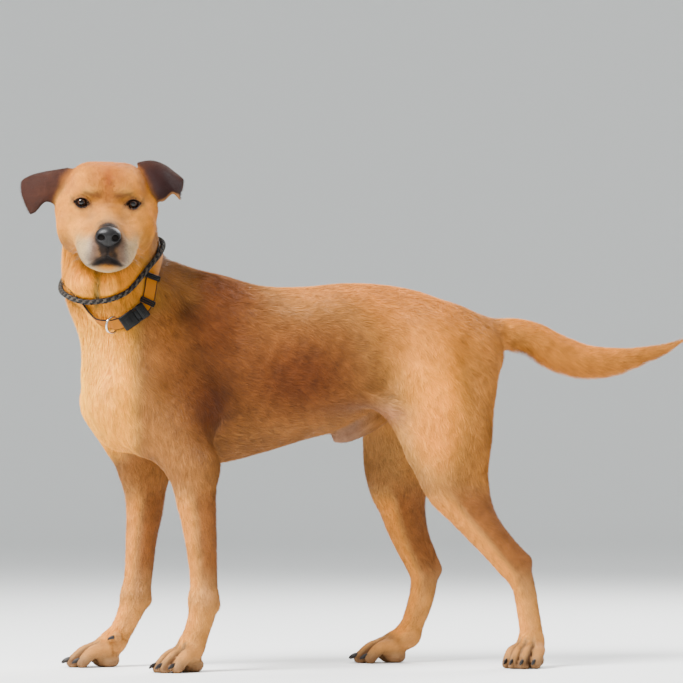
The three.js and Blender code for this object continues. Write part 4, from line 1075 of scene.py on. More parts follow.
def paint_neck(paint, p, near):
    """A pale throat with painted shade in its crease, and the sheath."""
    on_neck = smoothstep(10, 0, near["neck"]) * smoothstep(520, 560, p[:, 2])
    paint(on_neck * 0.9, (190, 132, 78))
    pale_side = smoothstep(-20, 40, (p - (-352, -20, 600)) @ unit(vec((-0.75, -0.62, 0))))
    paint(on_neck * pale_side, (232, 190, 128))
    paint(smoothstep(10, 2, near["throat"]) * pale_side * 0.8, (238, 200, 140))
    # Painted shade in the crease between the two lobes under the jaw.
    paint(throat_crease(p), (92, 56, 28))
    paint(smoothstep(12, 3, near["sheath"]) * smoothstep(60, 10, p[:, 0]), (168, 128, 104))


def paint_head(paint, p, near):
    """Brows, cheeks, a grey muzzle with rows of whisker roots, dark lips, dark rims of the lids, and painted
    shade round the eyes, beside the bridge and under the jaw.
    """
    q = HEAD.local(p)
    x, y, z = q.T
    head = smoothstep(13, 2, near["head"]) * smoothstep(-100, -60, x)
    paint(head, (208, 142, 66))
    paint(head * (smoothstep(6, 36, z) * smoothstep(24, -10, x)), (202, 128, 52))
    paint_patches(paint, q, BROW_PATCHES, head)
    for s in (LEFT, RIGHT):
        brow, _ = along_line(q * (0, 1, 1), [(0, 13 * s, 11), (0, 22 * s, 12), (0, 32 * s, 14)])
        weight = 0.62 * np.exp(-((brow / 3.2) ** 2)) * smoothstep(-30, -16, x)
        paint(head * weight, (96, 58, 34))
    paint_patches(paint, q, CHEEK_PATCHES, head)
    side = smoothstep(30, 64, x + 0.2 * ripple(q, 9, 61) * 9) * smoothstep(-30, -50, z)
    paint(head * (side * smoothstep(4, 26, np.abs(y)) * 0.9), (194, 180, 163))
    paint_patches(paint, q, MUZZLE_PATCHES, head)
    paint(head * (smoothstep(-78, -90, z) * smoothstep(0, 40, x)), (186, 166, 140))
    paint_patches(paint, q, JAW_SHADE_PATCHES, head)
    roots = np.sin(x * 2 * math.pi / 7 + 1.3 * np.round(z / 6)) * np.cos(z * 2 * math.pi / 6)
    weight = side * smoothstep(12, 20, np.abs(y)) * smoothstep(0.55, 0.95, roots) * 0.6
    paint(head * weight, (120, 96, 80))
    lips = np.abs(y) - np.interp(z, (-82, -73, -62, -48), (15, 17, 10, 11)) + 1.5 * ripple(q, 7, 62)
    low = smoothstep(-81, -73, z + 0.012 * y ** 2)
    paint(head * (smoothstep(7, -5, lips) * smoothstep(78, 92, x) * low * 0.96), (42, 32, 28))
    # Darker hair round the eyes, deepened with painted shade of the sockets.
    for s in (LEFT, RIGHT):
        paint(head * (0.8 * smoothstep(8, 1.5, almond(q, s)) * (x > -24)), (124, 80, 50))
    _, dark = face_forms(p)
    paint(head * np.clip(dark * 1.15, 0, 1), (38, 27, 23))
    paint(head * smoothstep(17, 12.5, from_nose(q)), (44, 36, 33))


def paint_ears(paint, p, near):
    """The flap, the back panel lightened with painted light, darker hair with painted shade past the left
    flap's fold, and the line of the free edge.
    """
    for name in EARS:
        far, v = ear_place(name, p)
        on_ear = smoothstep(7, 4, far) * (1 - smoothstep(6, -2, near["head"]) * 0.6)
        paint(on_ear, (86, 48, 23))
        # Painted light: the back panel is lighter, as if lit from above.
        paint(on_ear * smoothstep(0.35, 0.1, v), (128, 76, 36))
        if name == "left":
            # Darker hair with painted shade on the flap just past its fold.
            paint(on_ear * smoothstep(0.45, 0.6, v), (70, 34, 16))
            paint(on_ear * smoothstep(0.93, 0.97, v) * 0.9, (186, 136, 96))
        else:
            paint(on_ear * smoothstep(0.9, 0.99, v) * 0.5, (72, 44, 30))


def markings_and_painted_light(p):
    """The coat's colour at points of the body, with its painted shade and painted light, the same for the
    skin and for the tufts over it.
    """
    near = parts_at(p)
    colour = np.tile(tone(190, 132, 80), (len(p), 1))

    def paint(weight, rgb):
        nonlocal colour
        colour = colour + np.clip(weight, 0, 1)[:, None] * (tone(*rgb) - colour)

    paint_trunk(paint, p)
    for paint_part in (paint_tail, paint_legs, paint_neck, paint_head, paint_ears):
        paint_part(paint, p, near)
    vary = 1 + 0.05 * ripple(p, 34, 5) + 0.045 * ripple(p, 11, 6)
    return np.clip(vivid(colour) * vary[:, None], 0.002, 0.95)


@cache
def ear_tree(name):
    """The ear's sheet, and a tree that finds the nearest of its points."""
    sheet, _ = ear_sheet(EARS[name], 5)
    return sheet, tree_of(sheet.reshape(-1, 3))


def ear_place(name, p):
    """How far points of the body are from the ear's sheet, and where across it they are, from 0 to 1."""
    sheet, tree = ear_tree(name)
    across = np.linspace(0, 1, sheet.shape[1])
    rows, level = vec(EARS[name]).reshape(-1, 3), LEVEL_HEAD.local(p)
    far, v = np.full(len(p), 99.0), np.zeros(len(p))
    for i in np.flatnonzero(((level > rows.min(0) - 8) & (level < rows.max(0) + 8)).all(1)):
        _, index, far[i] = tree.find(level[i])
        v[i] = across[index % len(across)]
    return far, v


def paint_piece(piece, colours):
    """Stores a colour for each vertex, which the piece's material reads."""
    layer = piece.data.color_attributes.new("coat_tone", "FLOAT_COLOR", "POINT")
    values = np.concatenate([colours, np.ones((len(colours), 1))], 1).astype(np.float32)
    layer.data.foreach_set("color", values.ravel())


# ---- Materials ----------------------------------------------------------------------------------------

class Net:
    """The nodes of one material."""

    def __init__(self, tree):
        self.nodes, self.link = tree.nodes, tree.links.new
        self.shader = tree.nodes["Principled BSDF"]

    def set(self, node, **inputs):
        """Gives named inputs a plain value, or links them to a socket."""
        for name, value in inputs.items():
            socket = node.inputs[name.replace("_", " ")]
            if isinstance(value, bpy.types.NodeSocket):
                self.link(value, socket)
            else:
                socket.default_value = value

    def add(self, kind, **inputs):
        node = self.nodes.new("ShaderNode" + kind)
        self.set(node, **inputs)
        return node

    def stored(self, name):
        """What is stored on the mesh's points by this name."""
        node = self.add("Attribute")
        node.attribute_name = name
        return node.outputs

    def noise(self, scale, detail):
        """A noise texture over object space, in which 1 unit is a metre."""
        at = self.add("TexCoord").outputs["Object"]
        return self.add("TexNoise", Scale=scale, Detail=detail, Vector=at).outputs["Fac"]

    def shaded(self, colour, factor, low, high):
        """The colour made darker and lighter by a factor from 0 to 1."""
        ramp = self.add("MapRange", To_Min=low, To_Max=high, Value=factor)
        mix = self.add("VectorMath")
        mix.operation = "SCALE"
        self.link(colour, mix.inputs[0])
        self.link(ramp.outputs["Result"], mix.inputs["Scale"])
        return mix.outputs["Vector"]

    def finish(self, colour, height=None, strength=0.0, distance=0.0):
        """Gives the shader its colour and, where there is a height, a bump."""
        self.set(self.shader, Base_Color=colour)
        if height:
            node = self.add("Bump", Strength=strength, Distance=distance, Height=height)
            self.set(self.shader, Normal=node.outputs["Normal"])


def material(name, build, **values):
    """A material whose shader has these plain values; `build` may add procedural nodes."""
    m = bpy.data.materials.new(name)
    m.use_nodes = True
    net = Net(m.node_tree)
    net.set(net.shader, **values)
    if build:
        build(net)
    return m


def rgba(r, g, b):
    return (*tone(r, g, b), 1.0)


def coat_nodes(fine, strength):
    """The painted colour with a fine grain, and a bump of that grain where it has any strength."""
    def build(net):
        painted, grain = net.stored("coat_tone")["Color"], net.noise(fine, 3.0)
        colour = net.shaded(painted, grain, 0.8, 1.18)
        net.finish(colour, grain if strength else None, strength, 0.0008)
    return build


SKIN_LOOK = material("skin_under_coat", coat_nodes(900, 0.6), Roughness=0.75, Specular_IOR_Level=0.16)
COAT_LOOK = material("short_coat", coat_nodes(700, 0.0), Roughness=0.62, Specular_IOR_Level=0.2)


# ---- Eyes, nose and claws -----------------------------------------------------------------------------

def lathe(profile, sides, place):
    """A closed turned solid: profile rows (along, radius) from tip to tip, along local x of a Frame."""
    along, radius = vec(profile).T
    turn = np.linspace(0, 2 * math.pi, sides, endpoint=False)
    ring = [np.outer(radius[1:-1], way(turn)).ravel() for way in (np.cos, np.sin)]
    points = np.stack([np.repeat(along[1:-1], sides), *ring], 1)
    points = np.concatenate([points, [[along[0], 0, 0]], [[along[-1], 0, 0]]])
    return place.out(points), tube_faces(len(along) - 2, sides)


def own(piece, look, slot, *nodes):
    """Puts a finished piece on the body of the part, with its material, in the place of its nodes."""
    piece.data.materials.clear()
    piece.data.materials.append(look)
    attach(piece, "root")
    if nodes:
        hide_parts(*nodes)


def build_eye(side):
    """An eyeball with a brown iris, a dark pupil and a cornea that stands a little proud.

    A frame's y is the dog's left, so here the side that is RIGHT on the body is the left eye.
    """
    name = "eye_left" if side == RIGHT else "eye_right"
    place = Frame(HEAD.out((EYE["depth"], EYE["spread"] * side, 0)), 0)
    place.axes = HEAD.axes @ rotation("Z", 3.0 * side) @ rotation("Y", -1.0)
    r, iris, pupil = EYE["radius"], 6.3, 3.7
    profile = [(r + 0.5, 0.0)]
    for a in [*np.linspace(0.02, 0.56, 20), *np.linspace(0.6, math.pi, 22)[:-1]]:
        cornea = 0.55 * smoothstep(0.62, 0.2, a)
        profile.append(((r + cornea) * math.cos(a), (r + cornea) * math.sin(a)))
    profile.append((-r, 0.0))
    points, faces = lathe(profile, 48, place)
    piece = outward(make_mesh(name + "_ball", to_row(points), faces))
    x, y, z = place.local(points).T
    radius, turn, back = np.hypot(y, z), np.arctan2(z, y), x < 0
    rays = 0.5 + 0.5 * np.sin(turn * 37 + 3 * np.sin(turn * 5))
    ring = tone(22, 14, 10)
    colours = tone(46, 27, 16) + 0.6 * rays[:, None] * (tone(84, 50, 28) - tone(46, 27, 16))
    for there, colour in (
        (radius > iris, ring),
        (radius > iris + 0.8, tone(70, 48, 38)),
        ((radius > iris + 2.2) | back, tone(196, 176, 160) * 0.6),
        ((radius > iris - 1.1) & (radius <= iris), ring),
        ((radius < pupil) & ~back, tone(8, 6, 6)),
    ):
        colours = np.where(there[:, None], colour, colours)
    paint_piece(piece, colours)
    own(piece, EYE_LOOK, "eye", name)


def eye_nodes(net):
    net.finish(net.stored("coat_tone")["Color"])


EYE_LOOK = material("wet_eye", eye_nodes, Roughness=0.1, Specular_IOR_Level=0.4)


def nose_nodes(net):
    """Dark leather, pebbled by cells that stand up in their middles."""
    at = net.add("TexCoord").outputs["Object"]
    cells = net.add("TexVoronoi", Scale=620, Vector=at).outputs["Distance"]
    ramp = net.add("ValToRGB", Fac=cells)
    ramp.color_ramp.elements[0].color = rgba(21, 19, 20)
    ramp.color_ramp.elements[1].color = rgba(10, 9, 9)
    flip = net.add("Math")
    flip.operation = "SUBTRACT"
    flip.inputs[0].default_value = 1.0
    net.link(cells, flip.inputs[1])
    net.finish(ramp.outputs["Color"], flip.outputs["Value"], 0.4, 0.0005)


NOSE_LOOK = material("nose_leather", nose_nodes, Roughness=0.45, Specular_IOR_Level=0.25)


# What is taken out of the nose leather: on each side the nostril and its slit, and the groove between them.
NOSTRILS = both_sides(lambda s: [
    (muscle((110, 10.8 * s, -37), (10, 5.7, 5.0)), -2.0),
    (bone((110, 14 * s, -39), (102, 20 * s, -41.5), 1.9, 1.2), -1.6),
])
NOSE_GROOVE = limb([(115.5, 0, -30, 0.7), (115.4, 0, -38, 1.1), (113, 0, -46, 1.2), (108, 0, -55, 1.0)])
NOSE = [
    (muscle((101, 0, -33), (13, 17, 12)), 1),
    (muscle((100, 0, -44), (12, 12, 9)), 8),
    *both_sides(lambda s: [(muscle((99, 10 * s, -36), (12, 9, 9)), 6)]),
    *NOSTRILS,
    (NOSE_GROOVE, -1.8),
]
NOSE_AT, NOSE_SCALE = vec((101, 0, -37)), (1.0, 0.93, 0.93)


def nose_at(p):
    """The distance to the nose leather, in the head's frame."""
    return fold(NOSE, p, 14)


def build_nose():
    """The bare leather of the nose."""
    points, quads = surface_nets(nose_at, (80, -30, -62), (122, 30, -12), 0.85)
    points = to_surface(nose_at, points, 2, 0.6)
    points = (points - NOSE_AT) * NOSE_SCALE + NOSE_AT
    piece = make_mesh("nose_pad", to_row(HEAD.out(points)), quads)
    own(outward(piece), NOSE_LOOK, "nose_leather", "nose")


WHISKER_LOOK = material("whiskers", None, Base_Color=rgba(150, 128, 104), Roughness=0.5)


def build_whiskers():
    """Stiff tapered hairs in three rows on the pads of the muzzle."""
    quads = ring_quads(8, 4, closed=False)
    tip = [(28 + j, 28 + (j + 1) % 4, 32) for j in range(4)]
    faces = np.concatenate([quads[:, [0, 1, 2]], quads[:, [0, 2, 3]], tip, [(0, 2, 1), (0, 3, 2)]])
    droop, t = HEAD.turn_out((-0.5, 0, -0.35)), np.linspace(0, 1, 9)
    hairs = []
    for s, row, i in product((LEFT, RIGHT), range(3), range(4)):
        root = HEAD.out(((82 - 7 * i, (20 + 2.2 * i + 1.5 * row) * s, -54 - 6 * row),))
        root = to_surface(lambda p: fold(PARTS["head"], p), root, 3, 4.0)[0]
        way = unit(HEAD.turn_out((0.15, 0.8 * s, -0.5)) + 0.22 * rng.normal(size=3))
        long = 26 * rng.uniform(0.6, 1.1)
        middle = root - 2 * way + np.outer(t * long, way) + np.outer(t ** 2 * long * 0.45, droop)
        side = unit(np.cross(way, (0, 0, 1)))
        up = unit(np.cross(way, np.cross(way, (0, 0, 1))))
        ring = vec([0.1 * (across * side + high * up) for across, high in circle(1, 4)])
        rings = middle[:-1, None] + (1 - t[:-1])[:, None, None] * ring
        hairs.append((np.concatenate([rings.reshape(-1, 3), middle[-1:]]), faces))
    points, faces = joined(hairs)
    own(outward(make_mesh("muzzle_whiskers", to_row(points), faces)), WHISKER_LOOK, "coat_pale")


def claw_nodes(net):
    """Dark horn, a little mottled."""
    plain = net.add("RGB").outputs[0]
    plain.default_value = rgba(34, 29, 27)
    net.finish(net.shaded(plain, net.noise(420, 2.0), 0.65, 1.4))


CLAW_LOOK = material("claw_horn", claw_nodes, Roughness=0.45, Specular_IOR_Level=0.25)


def horn(root, length, thick, place, name, node):
    """A curved, pointed claw."""
    rows, sides, bend = 11, 14, 0.9
    t = np.linspace(0, 1, rows)
    drop = length * (1 - np.cos(bend * t)) / bend * 0.9
    middle = column(root[0] + length * np.sin(bend * t) / bend, root[1], root[2] - drop)
    radius = thick * np.sqrt(1 - t ** 2.2) * (1 - 0.25 * t)
    points = []
    for i in range(rows - 1):
        run = unit(middle[i + 1] - middle[max(i - 1, 0)])
        up = unit(np.cross(run, (0, 1, 0)))
        for across, high in circle(1, sides):
            points.append(middle[i] + radius[i] * (0.78 * across * vec((0, 1, 0)) + 1.05 * high * up))
    points = place.out([*points, middle[0] - (1.0, 0, 0), middle[-1]])
    points[:, 2] = np.maximum(points[:, 2], GROUND + 0.3)
    piece = make_mesh(name, to_row(points), tube_faces(rows - 1, sides))
    own(outward(piece), CLAW_LOOK, "claw_horn", node)


def build_claws():
    """A claw on every toe, and the dewclaws of the forelegs."""
    for name, leg in LEGS.items():
        place = paw_frame(leg)
        for i, (across, _, tip, radius) in enumerate(TOES, 1):
            root = (tip + radius - 6.5, across, 11.5)
            horn(root, 14.5, 3.5, place, f"horn_{name}_{i}", f"claw_{name}_{i}")
        if leg["dewclaw"]:
            side = name.split("_")[1]
            root = (-21, 20.5 * leg["side"], 45)
            horn(root, 11.5, 2.9, place, f"horn_dew_{side}", f"dewclaw_{side}")


# ---- Collars ------------------------------------------------------------------------------------------

# Both collars are paths round the neck in one tilted frame: rows of [degrees round from the throat, height
# along the neck, distance off the coat, twist of the band about its path].
NECK_AT = vec((-352, -8, 592))
NECK_UP = unit(vec((-0.406, -0.299, 0.864)))
THROAT = unit(vec((-0.3, -0.95, 0)) - NECK_UP * (vec((-0.3, -0.95, 0)) @ NECK_UP))
SUNK = 3.4  # how far the weight of both collars presses the coat in
ROPE_RADIUS = 4.0
ROPE_PATH = [
    (-180, 4, 7.4, 0), (-150, 3, 7.4, 0), (-120, 2, 7.0, 0), (-85, 0, 5.4, 0), (-60, -1, 4.4, 0),
    (-44, -4, 4.4, 0), (-28, -9, 4.4, 0), (-8, -11, 4.4, 0), (10, -10, 4.4, 0), (24, -3, 4.4, 0),
    (36, 3, 4.6, 0), (50, 8, 5.4, 0), (75, 11, 6.4, 0), (110, 11, 7.4, 0), (148, 8, 7.4, 0),
]
WEBBING = {"wide": 18, "thick": 1.8, "edge": 1.7}
WEBBING_PATH = [
    (-180, 3, 1, 0), (-145, 1, 1, 0), (-110, 0, 0.4, 0), (-75, 0, -0.4, 0), (-60, -1, -1.0, 0),
    (-49, -4, -1.2, 10), (-41, -13, -1.2, 34), (-33, -28, 0.4, 46), (-24, -40, 3.6, 44), (-11, -46, 5.6, 30),
    (2, -46.5, 5, 10), (14, -42, 3, 0), (24, -34, 1.5, 0), (32, -22, 0.9, 0), (42, -10, 0.7, -6),
    (58, -1, 0.7, 0), (78, 6, 1, 0), (110, 8, 1, 0), (145, 6, 1, 0),
]
BUCKLE, BUCKLE_ROW = (42, 23, 8), 10.5
SLIDER, SLIDER_ROWS = (7, 23, 3), (12, 14)
RING, RING_ROW = {"radius": 12, "wire": 1.5}, 9
FINER = 12  # places on a collar's path for each of its rows


def reach_coat(start, direction):
    """Distance from points on the neck's axis to the coat's surface along a direction."""
    r = np.full(len(start), 60.0)
    for _ in range(24):
        r -= body_at(start + direction * r[:, None]) * 0.8
    return r


def way_along(middle):
    """The way a closed line runs at each of its points."""
    return unit(np.roll(middle, -1, 0) - np.roll(middle, 1, 0))


def across_run(way, run):
    """Directions turned square to the way a line runs."""
    return unit(way - (way * run).sum(1, keepdims=True) * run)


def path_frames(path):
    """Along a closed path: its points, the way it runs, across its band and away from the skin."""
    rows = [(path[-1][0] - 360, *path[-1][1:]), *path, *[(row[0] + 360, *row[1:]) for row in path[:3]]]
    rows = smooth_rows(rows, FINER)[FINER:FINER + len(path) * FINER]
    turn = np.radians(rows[:, 0])[:, None]
    out = np.cos(turn) * THROAT + np.sin(turn) * np.cross(NECK_UP, THROAT)
    start = NECK_AT + rows[:, 1:2] * NECK_UP
    middle = start + out * (reach_coat(start, out) + rows[:, 2] - SUNK)[:, None]
    run = way_along(middle)
    _, slope = slope_at(body_at, middle, 1.0)
    for _ in range(FINER):
        slope = slope + 0.5 * (np.roll(slope, 1, 0) + np.roll(slope, -1, 0))
    off = across_run(slope, run)
    wide = np.cross(off, run)
    cos, sin = (way(np.radians(rows[:, 3]))[:, None] for way in (np.cos, np.sin))
    return {"middle": middle, "run": run, "off": off * cos - wide * sin, "wide": wide * cos + off * sin}


def sweep(frames, section):
    """A closed band whose section is a ring of (off the skin, across)."""
    section = vec(section)
    points = (
        frames["middle"][:, None] + frames["off"][:, None] * section[None, :, :1]
        + frames["wide"][:, None] * section[None, :, 1:]
    )
    return points.reshape(-1, 3), ring_quads(*points.shape[:2])


def on_path(frames, row, points, lift=0.0):
    """Puts points at a row of the path: x runs along it, y across the band, z off the skin."""
    i = round(row * FINER) % len(frames["middle"])
    axes = np.stack([frames["run"][i], frames["wide"][i], frames["off"][i]])
    return (vec(points) + (0, 0, lift)) @ axes + frames["middle"][i]


def rounded_block(size, radius, at):
    """Points and faces of a block with rounded edges, at its place."""
    bm = bmesh.new()
    bmesh.ops.create_cube(bm, size=1.0)
    bmesh.ops.scale(bm, vec=size, verts=bm.verts)
    edges = [*bm.verts, *bm.edges]
    bmesh.ops.bevel(bm, geom=edges, offset=radius, segments=3, profile=0.5, affect="EDGES")
    points, faces = take_arrays(bm)
    return points + at, faces


def weave_nodes(net):
    """The band's painted colour with fine slanting ribs, laid along the band by its own map."""
    painted, place = net.stored("coat_tone")["Color"], net.stored("weave")["Vector"]
    wave = net.add("TexWave", Scale=0.22, Distortion=0.6, Vector=place)
    wave.wave_type, wave.bands_direction = "BANDS", "DIAGONAL"
    rib = wave.outputs["Fac"]
    net.finish(net.shaded(painted, rib, 0.72, 1.12), rib, 0.5, 0.0005)


WEAVE_LOOK = material("woven_webbing", weave_nodes, Roughness=0.72, Specular_IOR_Level=0.2)
ROPE_LOOK = material("braided_rope", coat_nodes(1500, 0.5), Roughness=0.75, Specular_IOR_Level=0.2)
PLASTIC_LOOK = material(
    "buckle_plastic", None, Base_Color=rgba(6, 6, 6), Roughness=0.42, Specular_IOR_Level=0.2,
)
STEEL_LOOK = material("ring_steel", None, Base_Color=rgba(205, 198, 186), Metallic=1.0, Roughness=0.22)


def build_collars():
    """The webbing collar with its buckle, sliders and ring, and the braided rope above it."""
    band, cord = path_frames(WEBBING_PATH), path_frames(ROPE_PATH)
    build_webbing(band)
    build_buckle(band)
    build_sliders(band)
    build_ring(band)
    build_rope(cord)
    return band, cord


def build_webbing(band):
    """A flat mustard band with thicker, black-bound edges."""
    half, thick, edge = WEBBING["wide"] / 2, WEBBING["thick"], WEBBING["edge"]
    left, right = np.linspace(-half, -half + edge, 3), np.linspace(half - edge, half, 3)
    across = np.concatenate([left, np.linspace(-half + edge, half - edge, 9)[1:-1], right])
    bulge = thick * (1 + 0.18 * ((np.abs(across) > half - edge) & (np.abs(across) < half)))
    bulge[[0, -1]] = thick * 0.75
    section = [*zip(bulge, across), *[(0.0, w) for w in across[::-1]]]
    points, quads = sweep(band, section)
    piece = make_mesh("webbing_band", to_row(points), quads)
    off, w = np.tile(section, (len(band["middle"]), 1)).T
    yellow, black = tone(162, 96, 2), tone(16, 15, 14)
    paint_piece(piece, np.where((np.abs(w) > half - edge * 0.8)[:, None], black, yellow))
    steps = np.diff(band["middle"], axis=0, prepend=band["middle"][-1:])
    length = np.cumsum(np.linalg.norm(steps, axis=1))
    place = np.stack([np.repeat(length, len(section)), w, off], 1)
    layer = piece.data.attributes.new("weave", "FLOAT_VECTOR", "POINT")
    layer.data.foreach_set("vector", place.astype(np.float32).ravel())
    own(outward(piece), WEAVE_LOOK, "webbing", "webbing_collar")


def plastic(name, band, rows, blocks, node):
    """Blocks, as one piece, at each of these rows of the webbing's path."""
    points, faces = joined([(on_path(band, row, p), f) for row in rows for p, f in blocks])
    own(outward(make_mesh(name, to_row(points), faces)), PLASTIC_LOOK, "buckle_plastic", node)


def build_buckle(band):
    """The buckle's two halves, its tongue and prongs, and the ribs and the raised field on them."""
    x, y, z = BUCKLE
    blocks = [
        rounded_block((x * 0.56, y, z), 2.2, (-x * 0.22, 0, z / 2)),
        rounded_block((x * 0.30, y, z * 0.86), 1.8, (x * 0.35, 0, z / 2)),
        rounded_block((x * 0.16, y * 0.62, z * 0.7), 1.2, (x * 0.13, 0, z / 2)),
    ]
    for s in (-1, 1):
        blocks.append(rounded_block((x * 0.2, 3.4, z * 0.62), 1.2, (x * 0.12, s * (y / 2 - 2.2), z / 2)))
    for i in range(3):
        blocks.append(rounded_block((1.6, y * 0.7, 1.0), 0.4, (x * (0.30 + 0.05 * i), 0, z * 0.93)))
    blocks.append(rounded_block((x * 0.2, y * 0.44, 0.9), 0.4, (-x * 0.24, 0, z)))
    plastic("side_release_buckle", band, (BUCKLE_ROW,), blocks, "buckle")


def build_sliders(band):
    """Two sliders, each of three bars across the band and two along its edges."""
    x, y, z = SLIDER
    high = WEBBING["thick"] + z / 2
    bars = [rounded_block((2.2, y, z), 0.8, (at, 0, high)) for at in (-x / 2 + 0.4, 0, x / 2 - 0.4)]
    bars += [rounded_block((x, 2.0, z), 0.8, (0, s * (y / 2 - 1.0), high)) for s in (-1, 1)]
    plastic("strap_sliders", band, SLIDER_ROWS, bars, "slider")


def build_ring(band):
    """A ring of steel wire."""
    rows, sides = 56, 14
    turns = [np.linspace(0, 2 * math.pi, n, endpoint=False) for n in (rows, sides)]
    turn, tube = np.meshgrid(*turns, indexing="ij")
    far = RING["radius"] + RING["wire"] * np.cos(tube)
    torus = np.stack([RING["wire"] * np.sin(tube), far * np.sin(turn), far * np.cos(turn)], -1)
    points = on_path(band, RING_ROW, torus.reshape(-1, 3), WEBBING["thick"] / 2)
    piece = make_mesh("steel_ring", to_row(points), ring_quads(rows, sides))
    own(outward(piece), STEEL_LOOK, "ring_steel", "ring")


def build_rope(cord):
    """Eight strands plaited round a core: four turn one way and four the other, over and under by turns."""
    closed = {k: np.concatenate([v, v[:1]]) for k, v in cord.items()}
    length = np.cumsum(np.linalg.norm(np.diff(closed["middle"], axis=0), axis=1))
    length = np.concatenate([[0], length])
    s = np.linspace(0, length[-1], 460, endpoint=False)
    at = {k: np.stack([np.interp(s, length, values) for values in v.T], 1) for k, v in closed.items()}
    turns, strand = round(length[-1] / 23), 1.45
    shades = (tone(22, 20, 19), tone(66, 60, 53))
    parts, tones = [], []

    def add(line, section, shade):
        parts.append(sweep(line, section))
        tones.append(np.tile(shade, (len(parts[-1][0]), 1)))

    for way, k in product((1, -1), range(4)):
        turn = 2 * math.pi * (way * turns * s / length[-1] + k / 4)
        over = np.cos(2 * math.pi * turns * 4 * s / length[-1]) * way
        far = (ROPE_RADIUS - strand - 0.15) + 0.42 * over
        out = np.cos(turn)[:, None] * at["off"] + np.sin(turn)[:, None] * at["wide"]
        middle = at["middle"] + far[:, None] * out
        run = way_along(middle)
        off = across_run(unit(middle - at["middle"]), run)
        line = {"middle": middle, "off": off, "wide": np.cross(off, run)}
        add(line, circle(strand, 6), shades[(k + (way > 0)) % 2])
    add(at, circle(2.3, 8), shades[0])
    points, quads = joined(parts)
    piece = make_mesh("plaited_rope", to_row(points), quads)
    fleck = 1 + 0.22 * ripple(points, 5, 51)
    paint_piece(piece, np.clip(np.concatenate(tones) * fleck[:, None], 0.004, 0.9))
    own(outward(piece), ROPE_LOOK, "rope", "rope_collar")


def clear_of_collars(points, band, cord):
    """True where no point of a tuft (an array of tufts x points) is inside a collar."""
    flat = points.reshape(-1, 3)
    free = np.ones(len(flat), bool)
    near = np.flatnonzero(np.linalg.norm(flat - NECK_AT, axis=1) < 150)
    # Each collar's half width, and how far off its path the tufts stay away, below and above.
    for frames, wide, low, high in ((band, WEBBING["wide"] / 2 + 0.3, -0.6, 4.0), (cord, 4.2, -4.0, 4.6)):
        tree = tree_of(frames["middle"])
        for i in near:
            _, k, far = tree.find(flat[i])
            off = flat[i] - frames["middle"][k]
            if far < 16 and abs(off @ frames["wide"][k]) < wide and low < off @ frames["off"][k] < high:
                free[i] = False
    return free.reshape(points.shape[:2]).all(1)


# ---- The coat -----------------------------------------------------------------------------------------

def lie_of_coat(p, normal):
    """The way the hair lies at points of the skin: from the nose back, and down the legs to the toes."""
    near = parts_at(p)
    x, _, z = p.T
    flow = np.zeros_like(p)

    def add(name, direction, spread=14.0):
        weight = np.exp(-np.clip(near[name] + 4, 0, None) ** 2 / (2 * spread ** 2)) + 1e-9
        flow[:] += weight[:, None] * unit(direction)

    steep = np.abs(normal[:, 1])
    breast = smoothstep(-290, -345, x)
    add("trunk", column(1.0 - breast, 0.25 * normal[:, 1] * breast, -0.5 * steep - 1.1 * breast))
    along_neck = unit(vec(NECK[0][:3]) - vec(NECK[-1][:3]))
    add("neck", along_neck + column(0, 0.2 * normal[:, 1], -0.25))
    add("throat", vec((0.1, 0.1, -1.0)))
    forward, sideways, up = HEAD.local(p).T
    rise = (0.5 + 0.4 * smoothstep(30, -20, forward)) * (1 - smoothstep(-50, -75, up)) - 0.25
    add("head", HEAD.turn_out(column(-1.0, 0.9 * np.clip(sideways / 60, -1, 1), rise)), 8.0)
    fine = smooth_rows(TAIL, 4)
    slopes = unit(np.gradient(fine[:, :3], axis=0))
    tangent = column(*[np.interp(x, fine[:, 0], slopes[:, k]) for k in range(3)])
    add("tail", tangent + column(0, 0, -0.35 * np.clip(-normal[:, 2] + 0.3, 0, 1)), 8.0)
    add("sheath", vec((-0.9, 0, -0.4)), 6.0)
    for name, leg in LEGS.items():
        fine = smooth_rows(leg["shin"], 4)
        slopes = unit(np.gradient(fine[:, :3], axis=0))[::-1]
        down = column(*[np.interp(z, fine[::-1, 2], slopes[:, k]) for k in range(3)])
        upper = smoothstep(300, 420, z)[:, None]
        add(name, down * (1 - upper) + vec((0.35, 0, -0.8)) * upper, 9.0)
        add(f"paw_{name}", paw_frame(leg).turn_out((0.8, 0, -0.6)), 6.0)
    level = LEVEL_HEAD.local(p)
    for name in EARS:
        sheet, tree = ear_tree(name)
        run = unit(LEVEL_HEAD.turn_out(np.gradient(sheet, axis=0))).reshape(-1, 3)
        for i in np.flatnonzero(np.abs(level - sheet.reshape(-1, 3).mean(0)).max(1) < 60):
            _, index, far = tree.find(level[i])
            if far < 5:
                flow[i] = run[index]
    flow += 0.16 * np.stack([ripple(p, 26, 11 + k) for k in range(3)], 1)
    flow -= (flow * normal).sum(1, keepdims=True) * normal
    return unit(flow)


